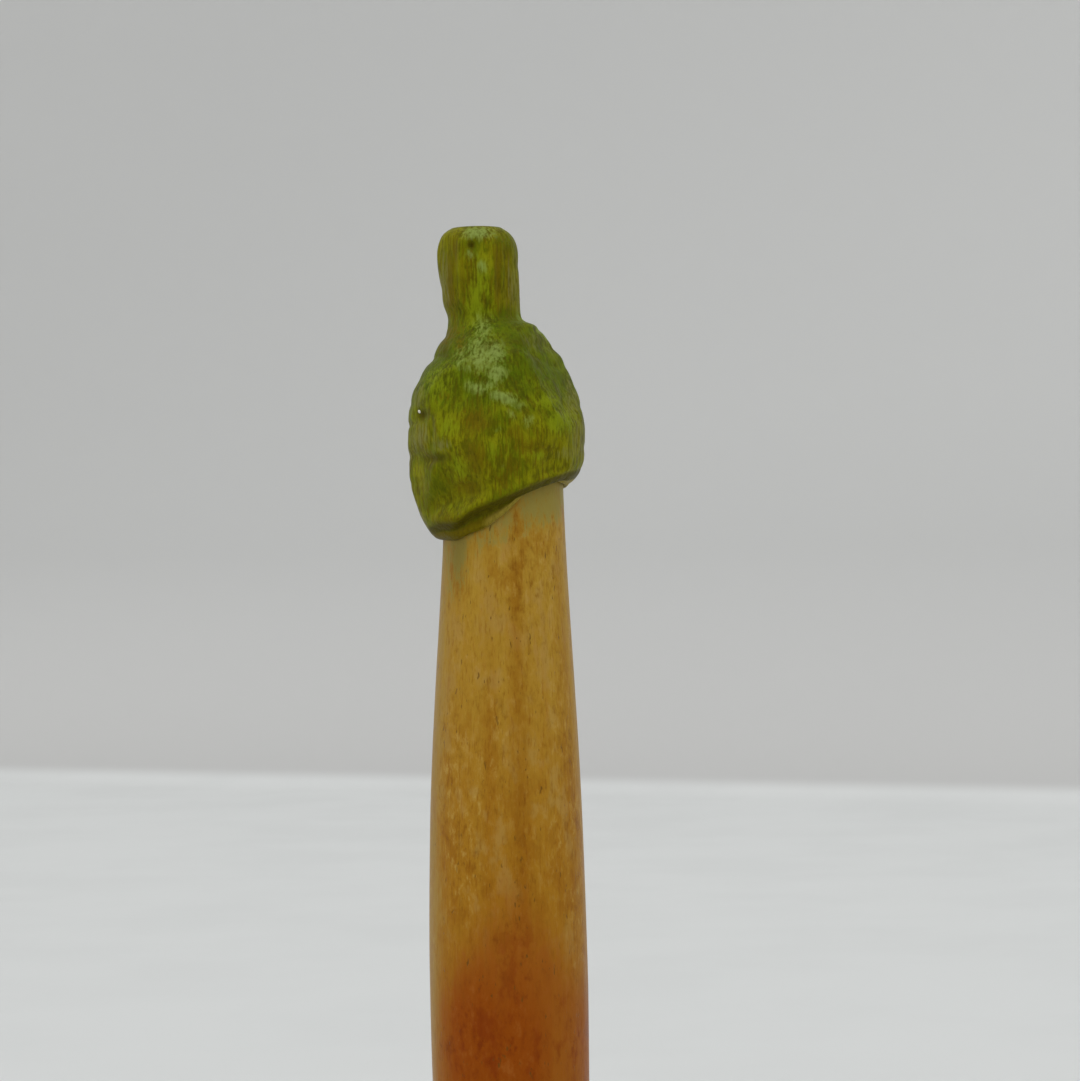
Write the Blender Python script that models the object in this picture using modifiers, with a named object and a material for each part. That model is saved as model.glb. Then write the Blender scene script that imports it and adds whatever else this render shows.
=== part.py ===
"""A slim hand-made fishing float that stands on its brass keel.

A carved green head is pinned onto a cane stem that runs through the wooden body. Below the body
the stem carries a ferrule, two thread whippings, an eye band with a swinging line ring, two rubber
sleeves that slide to grip the line, and a turned brass keel with a flat foot.
"""

import math

import bmesh
import bpy
from mathutils import Vector

MM = 0.001  # the sizes below are in millimetres
GAP = 0.3  # clearance between neighbouring pieces
ROUND_STEPS = 40  # flats round a turned piece
BAND_STEPS = 32  # flats round the small bands on the stem
SHARP_ANGLE = math.radians(35.0)  # edges sharper than this stay crisp

TOTAL_HEIGHT = 150.0

# Centre stem: a cane rod from inside the keel to inside the head
STEM_RADIUS = 2.0
STEM_BOTTOM = 1.9
STEM_TOP = 138.6
BORE_RADIUS = STEM_RADIUS + GAP

# Body: distance up from the foot, and radius there
BODY_OUTLINE = (
    (45.3, 3.55),
    (49.0, 4.05),
    (55.0, 4.80),
    (62.0, 5.45),
    (70.0, 5.95),
    (82.3, 6.28),
    (91.5, 6.32),
    (100.6, 6.16),
    (107.3, 5.92),
    (113.0, 5.60),
    (118.8, 5.24),
    (124.6, 4.92),
    (131.0, 4.72),
)
BODY_SPIGOT_BOTTOM = 42.0
BODY_SPIGOT_RADIUS = 2.95

# Head: for each section its left edge and its right edge, as (offset, height) pairs.
# The stalk stands a little to the left of the stem, and the skirt hangs lower on the left.
HEAD_SECTIONS = (
    ((-4.00, 149.95), (0.00, 150.00)),
    ((-4.62, 149.50), (0.55, 149.35)),
    ((-5.00, 148.60), (1.28, 148.55)),
    ((-5.10, 147.60), (1.46, 147.60)),
    ((-4.90, 145.70), (1.60, 145.70)),
    ((-4.62, 143.90), (1.58, 143.90)),
    ((-4.28, 142.80), (1.64, 142.80)),
    ((-4.34, 141.60), (2.80, 141.70)),
    ((-5.35, 139.90), (4.50, 139.90)),
    ((-6.40, 138.30), (5.30, 138.30)),
    ((-7.25, 136.80), (6.00, 136.70)),
    ((-7.56, 135.10), (6.44, 135.10)),
    ((-7.60, 133.30), (6.58, 133.60)),
    ((-7.52, 131.20), (6.54, 132.30)),
    ((-7.35, 129.20), (6.40, 131.30)),
    ((-6.85, 127.40), (6.15, 130.40)),
    ((-6.20, 126.15), (5.80, 129.75)),
    ((-5.42, 125.30), (5.45, 129.30)),
)
HEAD_DEPTH_SHARE = 0.97  # depth over width of the head
HEAD_POINTS = 40
HEAD_RINGS_BETWEEN = 1
FLUTES = 7  # soft knife flats round the head
FLUTE_DEPTH = 0.022
SOCKET_RADIUS = 5.05
SOCKET_START = 118.0  # clear below the skirt
SOCKET_TOP = 131.3

# Head pin: a small brass brad through the left cheek into the stem
PIN_RADIUS = 0.4
PIN_HEAD_RADIUS = 0.7
PIN_HEAD_THICKNESS = 0.35
PIN_HEIGHT = 135.3
PIN_TURN = math.radians(209.0)  # direction of its head, round the stem from +X
PIN_OUTER = 7.40
PIN_TIP = 0.5

# Ferrule: a brass cup over the lower end of the body
FERRULE_BOTTOM = 38.0
FERRULE_FLOOR = 38.8
FERRULE_TOP = 45.0
FERRULE_TOP_RADIUS = 3.60
FERRULE_BOTTOM_RADIUS = 3.30

# Ballast ring inside the ferrule, under the body
BALLAST_BOTTOM = 39.1
BALLAST_TOP = 41.7
BALLAST_RADIUS = 2.7

# Sleeves
SLEEVE_RADIUS = 3.1
SLEEVE_UPPER_BOTTOM = 32.0
SLEEVE_UPPER_LENGTH = 5.0
SLEEVE_LOWER_BOTTOM = 8.5
SLEEVE_LOWER_LENGTH = 4.0

# Whippings: bands of wound thread
WHIPPING_LENGTH = 3.0
WHIPPING_THICKNESS = 0.5
WHIPPING_UPPER_BOTTOM = 22.4
WHIPPING_LOWER_BOTTOM = 15.2

# Eye band and line ring
BAND_BOTTOM = 18.8
BAND_LENGTH = 3.0
BAND_RADIUS = 3.0
EYE_WIRE = 0.4
EYE_RADIUS = 1.5
EYE_X = 4.5
RING_WIRE = 0.4
RING_RADIUS = 2.2

# Keel: a turned brass foot with a hub, pinned to the stem
FOOT_RADIUS = 7.0
FOOT_THICKNESS = 1.4
HUB_RADIUS = 3.0
HUB_TOP = 8.0
KEEL_PIN_HEIGHT = 5.6
KEEL_PIN_HALF_LENGTH = 3.25


def clear_scene():
    """Remove everything the startup file brings."""
    for obj in list(bpy.data.objects):
        bpy.data.objects.remove(obj)
    for collection in list(bpy.data.collections):
        bpy.data.collections.remove(collection)


def new_collection(name, hidden):
    """A collection in the scene; a hidden one holds cutters."""
    collection = bpy.data.collections.new(name)
    collection.hide_render = hidden
    bpy.context.scene.collection.children.link(collection)
    return collection


def new_material(name, colour, roughness, metallic):
    """A Principled material with one colour."""
    material = bpy.data.materials.new(name)
    material.use_nodes = True
    shader = material.node_tree.nodes["Principled BSDF"]
    shader.inputs["Base Color"].default_value = (*colour, 1.0)
    shader.inputs["Roughness"].default_value = roughness
    shader.inputs["Metallic"].default_value = metallic
    return material


def add_object(name, mesh, collection, material):
    """Put a mesh in the scene under a name, shaded smooth with its hard edges kept."""
    mesh.shade_smooth()
    mesh.set_sharp_from_angle(angle=SHARP_ANGLE)
    if material is not None:
        mesh.materials.append(material)
    obj = bpy.data.objects.new(name, mesh)
    collection.objects.link(obj)
    return obj


def as_cutter(obj):
    """Hide an object that only cuts others."""
    obj.hide_render = True
    obj.display_type = "WIRE"
    return obj


def combine(obj, other, operation="DIFFERENCE"):
    """Cut one piece with another mesh, or join the two."""
    modifier = obj.modifiers.new(other.name, "BOOLEAN")
    modifier.operation = operation
    modifier.solver = "EXACT"
    modifier.object = other


def turned(name, profile, base, steps, collection, material):
    """A piece turned about +Z.

    The profile is (radius, height) pairs in millimetres, up the outer side. It is closed into a
    loop unless it starts on the axis. The heights are counted from the base, which becomes the
    object's place on the axis.
    """
    points = [(radius * MM, 0.0, height * MM) for radius, height in reversed(profile)]
    edges = [(i, i + 1) for i in range(len(points) - 1)]
    if profile[0][0] > 0.0:
        edges.append((len(points) - 1, 0))
    mesh = bpy.data.meshes.new(name)
    mesh.from_pydata(points, edges, [])
    obj = add_object(name, mesh, collection, material)
    obj.location.z = base * MM
    screw = obj.modifiers.new("turn", "SCREW")
    screw.axis = "Z"
    screw.angle = math.tau
    screw.steps = steps
    screw.render_steps = steps
    screw.use_merge_vertices = True
    screw.merge_threshold = 1e-5
    return obj


def rod(name, radius, start, end, steps, collection, material):
    """A plain round rod between two points in millimetres."""
    start = Vector(start) * MM
    end = Vector(end) * MM
    along = end - start
    bm = bmesh.new()
    bmesh.ops.create_cone(
        bm,
        cap_ends=True,
        segments=steps,
        radius1=radius * MM,
        radius2=radius * MM,
        depth=along.length,
    )
    mesh = bpy.data.meshes.new(name)
    bm.to_mesh(mesh)
    bm.free()
    obj = add_object(name, mesh, collection, material)
    obj.location = (start + end) / 2
    obj.rotation_euler = along.to_track_quat("Z", "Y").to_euler()
    return obj


def wire_ring(name, centre, turn, radius, wire, collection, material):
    """A closed ring of round wire, its own axis turned from +Z by the given angles."""
    bpy.ops.mesh.primitive_torus_add(
        major_segments=32,
        minor_segments=12,
        major_radius=radius * MM,
        minor_radius=wire * MM,
        location=Vector(centre) * MM,
        rotation=turn,
    )
    made = bpy.context.object
    mesh = made.data
    mesh.name = name
    place = made.matrix_world.copy()
    bpy.data.objects.remove(made)
    obj = add_object(name, mesh, collection, material)
    obj.matrix_world = place
    return obj


def smooth_between(rows, count):
    """Rows of numbers with count more put between each pair, on a Catmull-Rom curve."""
    result = []
    for i in range(len(rows) - 1):
        before = rows[max(i - 1, 0)]
        here = rows[i]
        there = rows[i + 1]
        after = rows[min(i + 2, len(rows) - 1)]
        for step in range(count + 1):
            u = step / (count + 1)
            row = []
            for a, b, c, d in zip(before, here, there, after):
                bend = 2 * a - 5 * b + 4 * c - d
                twist = 3 * b - a - 3 * c + d
                row.append(0.5 * (2 * b + (c - a) * u + bend * u * u + twist * u**3))
            result.append(tuple(row))
    result.append(tuple(rows[-1]))
    return result


def body_profile():
    """The body's outline from its bored lower end round the outside to its bored top."""
    outer = smooth_between(BODY_OUTLINE, 1)
    profile = [(BORE_RADIUS, BODY_SPIGOT_BOTTOM)]
    profile.append((BODY_SPIGOT_RADIUS, BODY_SPIGOT_BOTTOM))
    profile.append((BODY_SPIGOT_RADIUS, outer[0][0]))
    profile += [(radius, height) for height, radius in outer]
    profile.append((BORE_RADIUS, outer[-1][0]))
    return profile


def head_loft(name, collection, material):
    """The carved head: a loft from a round stalk to a wide, slanted, softly faceted skirt."""
    flat = [(*left, *right) for left, right in HEAD_SECTIONS]
    rows = smooth_between(flat, HEAD_RINGS_BETWEEN)
    bm = bmesh.new()
    rings = []
    for index, (left_x, left_z, right_x, right_z) in enumerate(rows):
        share = index / (len(rows) - 1)
        middle = Vector(((left_x + right_x) / 2, 0.0, (left_z + right_z) / 2))
        half = Vector(((right_x - left_x) / 2, 0.0, (right_z - left_z) / 2))
        depth = half.length * HEAD_DEPTH_SHARE
        ring = []
        for step in range(HEAD_POINTS):
            angle = math.tau * step / HEAD_POINTS
            wave = 0.5 + 0.5 * math.cos(FLUTES * angle + 2.2 * math.sin(5.0 * share))
            side = abs(math.cos(angle)) ** 6
            cutback = 1.0 - FLUTE_DEPTH * wave * (1.0 - side)
            point = middle + half * math.cos(angle) * cutback
            point.y = depth * math.sin(angle) * cutback
            ring.append(bm.verts.new(point * MM))
        rings.append(ring)
    for upper, lower in zip(rings, rings[1:]):
        for step in range(HEAD_POINTS):
            after = (step + 1) % HEAD_POINTS
            bm.faces.new((upper[step], lower[step], lower[after], upper[after]))
    bm.faces.new(rings[0])
    bm.faces.new(reversed(rings[-1]))
    bmesh.ops.recalc_face_normals(bm, faces=bm.faces)
    mesh = bpy.data.meshes.new(name)
    bm.to_mesh(mesh)
    bm.free()
    return add_object(name, mesh, collection, material)


def whipping_profile():
    """A band of wound thread, thinner at both ends."""
    inner = BORE_RADIUS
    outer = BORE_RADIUS + WHIPPING_THICKNESS
    return [
        (inner, 0.0),
        (inner + 0.2, 0.0),
        (outer - 0.1, 0.2),
        (outer, 0.45),
        (outer, WHIPPING_LENGTH - 0.45),
        (outer - 0.1, WHIPPING_LENGTH - 0.2),
        (inner + 0.2, WHIPPING_LENGTH),
        (inner, WHIPPING_LENGTH),
    ]


def band_profile(outer, length, edge):
    """A plain tube on the stem with its outer edges taken off."""
    return [
        (BORE_RADIUS, 0.0),
        (outer - edge, 0.0),
        (outer, edge),
        (outer, length - edge),
        (outer - edge, length),
        (BORE_RADIUS, length),
    ]


def keel_profile():
    """A flat foot with a rounded rim, a hollow cove and a hub with a blind bore."""
    floor = STEM_BOTTOM - GAP
    edge = 0.35
    profile = [(0.0, 0.0), (FOOT_RADIUS - edge, 0.0), (FOOT_RADIUS, edge)]
    profile += [(FOOT_RADIUS, FOOT_THICKNESS - edge), (FOOT_RADIUS - edge, FOOT_THICKNESS)]
    cove = FOOT_RADIUS - 1.4 - HUB_RADIUS
    for step in range(8):
        angle = math.pi / 2 * step / 7
        radius = HUB_RADIUS + cove * (1.0 - math.sin(angle))
        profile.append((radius, FOOT_THICKNESS + cove * (1.0 - math.cos(angle))))
    profile += [(HUB_RADIUS, HUB_TOP - edge), (HUB_RADIUS - edge, HUB_TOP)]
    profile += [(BORE_RADIUS, HUB_TOP), (BORE_RADIUS, floor), (0.0, floor)]
    return profile


def ferrule_profile():
    """A thin cup with a bored floor, widening to take the body's spigot."""
    spigot = BODY_SPIGOT_RADIUS + 0.2
    step = BODY_SPIGOT_BOTTOM - GAP - FERRULE_BOTTOM
    length = FERRULE_TOP - FERRULE_BOTTOM
    floor = FERRULE_FLOOR - FERRULE_BOTTOM
    return [
        (BORE_RADIUS, 0.0),
        (FERRULE_BOTTOM_RADIUS - 0.25, 0.0),
        (FERRULE_BOTTOM_RADIUS, 0.25),
        (FERRULE_TOP_RADIUS, length - 0.15),
        (FERRULE_TOP_RADIUS - 0.15, length),
        (spigot, length),
        (spigot, step),
        (BALLAST_RADIUS + 0.2, step),
        (BALLAST_RADIUS + 0.2, floor),
        (BORE_RADIUS, floor),
    ]


def on_head_pin(distance):
    """A point on the head pin's axis, so far out from the stem's."""
    return (distance * math.cos(PIN_TURN), distance * math.sin(PIN_TURN), PIN_HEIGHT)


def build_stem(parts, cutters, cane):
    """The stem, cross-drilled for the two pins. The drills come back with it."""
    stem = rod(
        "centre_stem", STEM_RADIUS, (0, 0, STEM_BOTTOM), (0, 0, STEM_TOP), BAND_STEPS, parts, cane
    )
    drill = PIN_RADIUS + GAP
    head_drill = rod(
        "head_pin_hole", drill, on_head_pin(PIN_OUTER + 3), on_head_pin(PIN_TIP - GAP),
        16, cutters, None
    )
    keel_drill = rod(
        "keel_pin_hole", drill, (-9, 0, KEEL_PIN_HEIGHT), (9, 0, KEEL_PIN_HEIGHT),
        16, cutters, None
    )
    for drilled in (head_drill, keel_drill):
        combine(stem, as_cutter(drilled))
    return head_drill, keel_drill


def build_head(parts, cutters, head_drill, green, brass):
    """The head with its socket, blind bore and pin hole, and the brad that holds it."""
    head = head_loft("carved_head", parts, green)
    socket = turned(
        "head_socket",
        [
            (0.0, 0.0),
            (SOCKET_RADIUS, 0.0),
            (SOCKET_RADIUS, SOCKET_TOP - SOCKET_START),
            (BORE_RADIUS, SOCKET_TOP - SOCKET_START),
            (BORE_RADIUS, STEM_TOP + GAP - SOCKET_START),
            (0.0, STEM_TOP + GAP - SOCKET_START),
        ],
        SOCKET_START,
        ROUND_STEPS,
        cutters,
        None,
    )
    seat = rod(
        "head_pin_seat", PIN_HEAD_RADIUS + GAP, on_head_pin(PIN_OUTER + 1),
        on_head_pin(PIN_OUTER - PIN_HEAD_THICKNESS - GAP), 20, cutters, None
    )
    combine(head, as_cutter(socket))
    combine(head, head_drill)
    combine(head, as_cutter(seat))
    pin = rod(
        "head_pin", PIN_RADIUS, on_head_pin(PIN_OUTER - 0.1), on_head_pin(PIN_TIP),
        16, parts, brass
    )
    pin_top = rod(
        "head_pin_top", PIN_HEAD_RADIUS, on_head_pin(PIN_OUTER),
        on_head_pin(PIN_OUTER - PIN_HEAD_THICKNESS), 16, cutters, None
    )
    combine(pin, as_cutter(pin_top), "UNION")


def build_line_fittings(parts, cutters, brass, ring_brass):
    """The eye band, and the ring that hangs from the lower wire of its side eye."""
    band = turned(
        "eye_band", band_profile(BAND_RADIUS, BAND_LENGTH, 0.15), BAND_BOTTOM,
        BAND_STEPS, parts, brass
    )
    eye_height = BAND_BOTTOM + BAND_LENGTH / 2
    eye = wire_ring(
        "eye_loop", (EYE_X, 0, eye_height), (math.pi / 2, 0, 0), EYE_RADIUS, EYE_WIRE,
        cutters, None
    )
    combine(band, as_cutter(eye), "UNION")
    swing_height = eye_height - EYE_RADIUS
    drop = EYE_WIRE + RING_WIRE + GAP - RING_RADIUS
    swing = bpy.data.objects.new("line_ring_axis", None)
    swing.location = Vector((EYE_X, 0, swing_height)) * MM
    parts.objects.link(swing)
    ring = wire_ring(
        "line_ring", (0, 0, drop), (0, math.pi / 2, 0), RING_RADIUS, RING_WIRE,
        parts, ring_brass
    )
    ring.parent = swing


def build_keel(parts, keel_drill, brass, ring_brass):
    """The turned foot and its cross pin."""
    keel = turned("keel_weight", keel_profile(), 0.0, ROUND_STEPS, parts, brass)
    combine(keel, keel_drill)
    rod(
        "keel_pin", PIN_RADIUS, (-KEEL_PIN_HALF_LENGTH, 0, KEEL_PIN_HEIGHT),
        (KEEL_PIN_HALF_LENGTH, 0, KEEL_PIN_HEIGHT), 16, parts, ring_brass
    )


def build():
    """Build every piece of the float."""
    clear_scene()
    parts = new_collection("bobber_float", False)
    cutters = new_collection("cutters", True)

    green = new_material("green_stained_wood", (0.15, 0.19, 0.02), 0.55, 0.0)
    honey = new_material("honey_stained_wood", (0.40, 0.22, 0.05), 0.45, 0.0)
    cane = new_material("cane", (0.50, 0.36, 0.16), 0.50, 0.0)
    brass = new_material("brass", (0.62, 0.45, 0.18), 0.35, 1.0)
    lead = new_material("lead", (0.20, 0.20, 0.21), 0.60, 1.0)
    red_rubber = new_material("red_rubber", (0.42, 0.05, 0.03), 0.60, 0.0)
    thread = new_material("waxed_thread", (0.10, 0.05, 0.03), 0.70, 0.0)
    ring_brass = new_material("ring_brass", (0.66, 0.50, 0.22), 0.30, 1.0)

    head_drill, keel_drill = build_stem(parts, cutters, cane)
    turned("float_body", body_profile(), 0.0, ROUND_STEPS, parts, honey)
    build_head(parts, cutters, head_drill, green, brass)

    turned("body_ferrule", ferrule_profile(), FERRULE_BOTTOM, ROUND_STEPS, parts, brass)
    ballast = band_profile(BALLAST_RADIUS, BALLAST_TOP - BALLAST_BOTTOM, 0.1)
    turned("ballast_ring", ballast, BALLAST_BOTTOM, BAND_STEPS, parts, lead)

    for name, bottom, length in (
        ("sleeve_upper", SLEEVE_UPPER_BOTTOM, SLEEVE_UPPER_LENGTH),
        ("sleeve_lower", SLEEVE_LOWER_BOTTOM, SLEEVE_LOWER_LENGTH),
    ):
        tube = band_profile(SLEEVE_RADIUS, length, 0.25)
        turned(name, tube, bottom, BAND_STEPS, parts, red_rubber)
    for name, bottom in (
        ("whipping_upper", WHIPPING_UPPER_BOTTOM),
        ("whipping_lower", WHIPPING_LOWER_BOTTOM),
    ):
        turned(name, whipping_profile(), bottom, BAND_STEPS, parts, thread)

    build_line_fittings(parts, cutters, brass, ring_brass)
    build_keel(parts, keel_drill, brass, ring_brass)


build()
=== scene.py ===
"""Looks of a slim wooden stick float: a carved green head on a stained body, with brass and rubber fittings."""

from __future__ import annotations

import logging
import math
import random
from dataclasses import dataclass
from enum import Enum

import bmesh
import bpy
import numpy as np
from mathutils import Matrix, Vector, noise


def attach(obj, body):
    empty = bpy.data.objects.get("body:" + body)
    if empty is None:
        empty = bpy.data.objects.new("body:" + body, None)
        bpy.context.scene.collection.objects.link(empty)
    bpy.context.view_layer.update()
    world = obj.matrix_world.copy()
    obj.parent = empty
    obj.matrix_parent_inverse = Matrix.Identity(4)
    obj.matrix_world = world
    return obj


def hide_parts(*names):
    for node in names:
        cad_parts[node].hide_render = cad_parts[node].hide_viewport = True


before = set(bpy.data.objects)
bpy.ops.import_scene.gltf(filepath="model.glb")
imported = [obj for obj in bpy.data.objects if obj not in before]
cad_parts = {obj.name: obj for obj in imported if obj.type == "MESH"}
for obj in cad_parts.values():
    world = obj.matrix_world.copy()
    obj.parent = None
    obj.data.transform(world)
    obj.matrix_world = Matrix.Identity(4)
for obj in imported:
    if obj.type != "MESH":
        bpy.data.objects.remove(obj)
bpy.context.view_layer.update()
MM = 0.001
LOG = logging.getLogger("float")
Colour = tuple[float, float, float]
Section = tuple[float, float, float, float, float]


class Body(Enum):
    """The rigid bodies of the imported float."""

    FLOAT = "float"
    SLEEVE_UPPER = "sleeve_upper"
    SLEEVE_LOWER = "sleeve_lower"
    LINE_RING = "line_ring"


class Stain(Enum):
    """The kinds of colour on the carved head: brushed or worn stain, with painted shade in the dark kind and
    painted sheen in the grey kind.
    """

    MINT = "mint"
    LIME = "lime"
    BROWN = "brown"
    DARK_AND_SHADE = "dark"
    GREY_AND_SHEEN = "grey"
    BARE = "bare"
    LEAF = "leaf"


# ---------------------------------------------------------------- shader graph


class Graph:
    """One material and short ways of adding nodes to it."""

    def __init__(self, name: str) -> None:
        """Start a material with a Principled shader.

        Args:
            name: the material's name.
        """
        self.material = bpy.data.materials.new(name)
        self.material.use_nodes = True
        self.tree = self.material.node_tree
        self.shader = self.tree.nodes["Principled BSDF"]
        coordinates = self.tree.nodes.new("ShaderNodeTexCoord")
        self.place = coordinates.outputs["Object"]

    def join(self, value: object, socket: bpy.types.NodeSocket) -> None:
        """Feed a socket with another socket or a plain value.

        Args:
            value: an output socket, a number or a colour.
            socket: the input that takes it.
        """
        if isinstance(value, bpy.types.NodeSocket):
            self.tree.links.new(value, socket)
        elif isinstance(value, tuple) and len(value) == 3 and socket.type == "RGBA":
            socket.default_value = (*value, 1.0)
        else:
            socket.default_value = value

    def scaled(self, scale: Colour, shift: Colour = (0.0, 0.0, 0.0)) -> bpy.types.NodeSocket:
        """Object coordinates, moved and then multiplied on each axis.

        Args:
            scale: repeats for each metre along X, Y and Z.
            shift: how far the pattern is moved.

        Returns:
            The vector socket.
        """
        node = self.tree.nodes.new("ShaderNodeMapping")
        node.inputs["Scale"].default_value = scale
        node.inputs["Location"].default_value = shift
        self.join(self.place, node.inputs["Vector"])
        return node.outputs["Vector"]

    def noise(self, scale: Colour, detail: float = 2.0, roughness: float = 0.5,
              shift: Colour = (0.0, 0.0, 0.0)) -> bpy.types.NodeSocket:
        """Stretched noise.

        Args:
            scale: repeats for each metre along X, Y and Z.
            detail: octaves.
            roughness: strength of the finer octaves.
            shift: how far the pattern is moved.

        Returns:
            The factor socket, about 0.2 to 0.8.
        """
        node = self.tree.nodes.new("ShaderNodeTexNoise")
        node.inputs["Scale"].default_value = 1.0
        node.inputs["Detail"].default_value = detail
        node.inputs["Roughness"].default_value = roughness
        self.join(self.scaled(scale, shift), node.inputs["Vector"])
        return node.outputs["Fac"]

    def math(self, operation: str, first: object, second: object = 0.0) -> bpy.types.NodeSocket:
        """One arithmetic node.

        Args:
            operation: the node's operation.
            first: first operand.
            second: second operand.

        Returns:
            The result socket.
        """
        node = self.tree.nodes.new("ShaderNodeMath")
        node.operation = operation
        self.join(first, node.inputs[0])
        self.join(second, node.inputs[1])
        return node.outputs[0]

    def ease(self, value: object, low: float, high: float, bottom: float = 0.0,
             top: float = 1.0) -> bpy.types.NodeSocket:
        """A smooth step.

        Args:
            value: what is stepped.
            low: where the step starts.
            high: where it ends.
            bottom: result below the step.
            top: result above it.

        Returns:
            The result socket.
        """
        node = self.tree.nodes.new("ShaderNodeMapRange")
        node.interpolation_type = "SMOOTHSTEP"
        for name, number in (("From Min", low), ("From Max", high), ("To Min", bottom), ("To Max", top)):
            node.inputs[name].default_value = number
        self.join(value, node.inputs["Value"])
        return node.outputs["Result"]

    def mix(self, factor: object, first: object, second: object,
            blend: str = "MIX") -> bpy.types.NodeSocket:
        """Mix two colours.

        Args:
            factor: share of the second.
            first: first colour.
            second: second colour.
            blend: blend type.

        Returns:
            The colour socket.
        """
        node = self.tree.nodes.new("ShaderNodeMix")
        node.data_type = "RGBA"
        node.blend_type = blend
        self.join(factor, node.inputs[0])
        self.join(first, node.inputs[6])
        self.join(second, node.inputs[7])
        return node.outputs[2]

    def attribute(self, name: str) -> bpy.types.NodeSocket:
        """The value of a mesh attribute.

        Args:
            name: the attribute's name.

        Returns:
            The factor socket.
        """
        node = self.tree.nodes.new("ShaderNodeAttribute")
        node.attribute_name = name
        return node.outputs["Fac"]

    def bump(self, height: object, distance: float, strength: float = 1.0,
             under: object = None) -> bpy.types.NodeSocket:
        """A bump from a height in 0 to 1.

        Args:
            height: the height socket.
            distance: depth of a full step, in metres.
            strength: share of the effect.
            under: a normal that it is laid over.

        Returns:
            The normal socket.
        """
        node = self.tree.nodes.new("ShaderNodeBump")
        node.inputs["Distance"].default_value = distance
        node.inputs["Strength"].default_value = strength
        self.join(height, node.inputs["Height"])
        if under is not None:
            self.join(under, node.inputs["Normal"])
        return node.outputs["Normal"]

    def dress(self, colour: object, roughness: object, normal: object = None,
              **constants: float) -> bpy.types.Material:
        """Feed the shader and give back the material.

        Args:
            colour: base colour.
            roughness: roughness.
            normal: normal, or None for the plain surface.
            constants: other shader inputs by name, with _ for a space.

        Returns:
            The finished material.
        """
        self.join(colour, self.shader.inputs["Base Color"])
        self.join(roughness, self.shader.inputs["Roughness"])
        if normal is not None:
            self.join(normal, self.shader.inputs["Normal"])
        for name, value in constants.items():
            self.shader.inputs[name.replace("_", " ")].default_value = value
        return self.material


# -------------------------------------------------------------------- finishes


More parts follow.
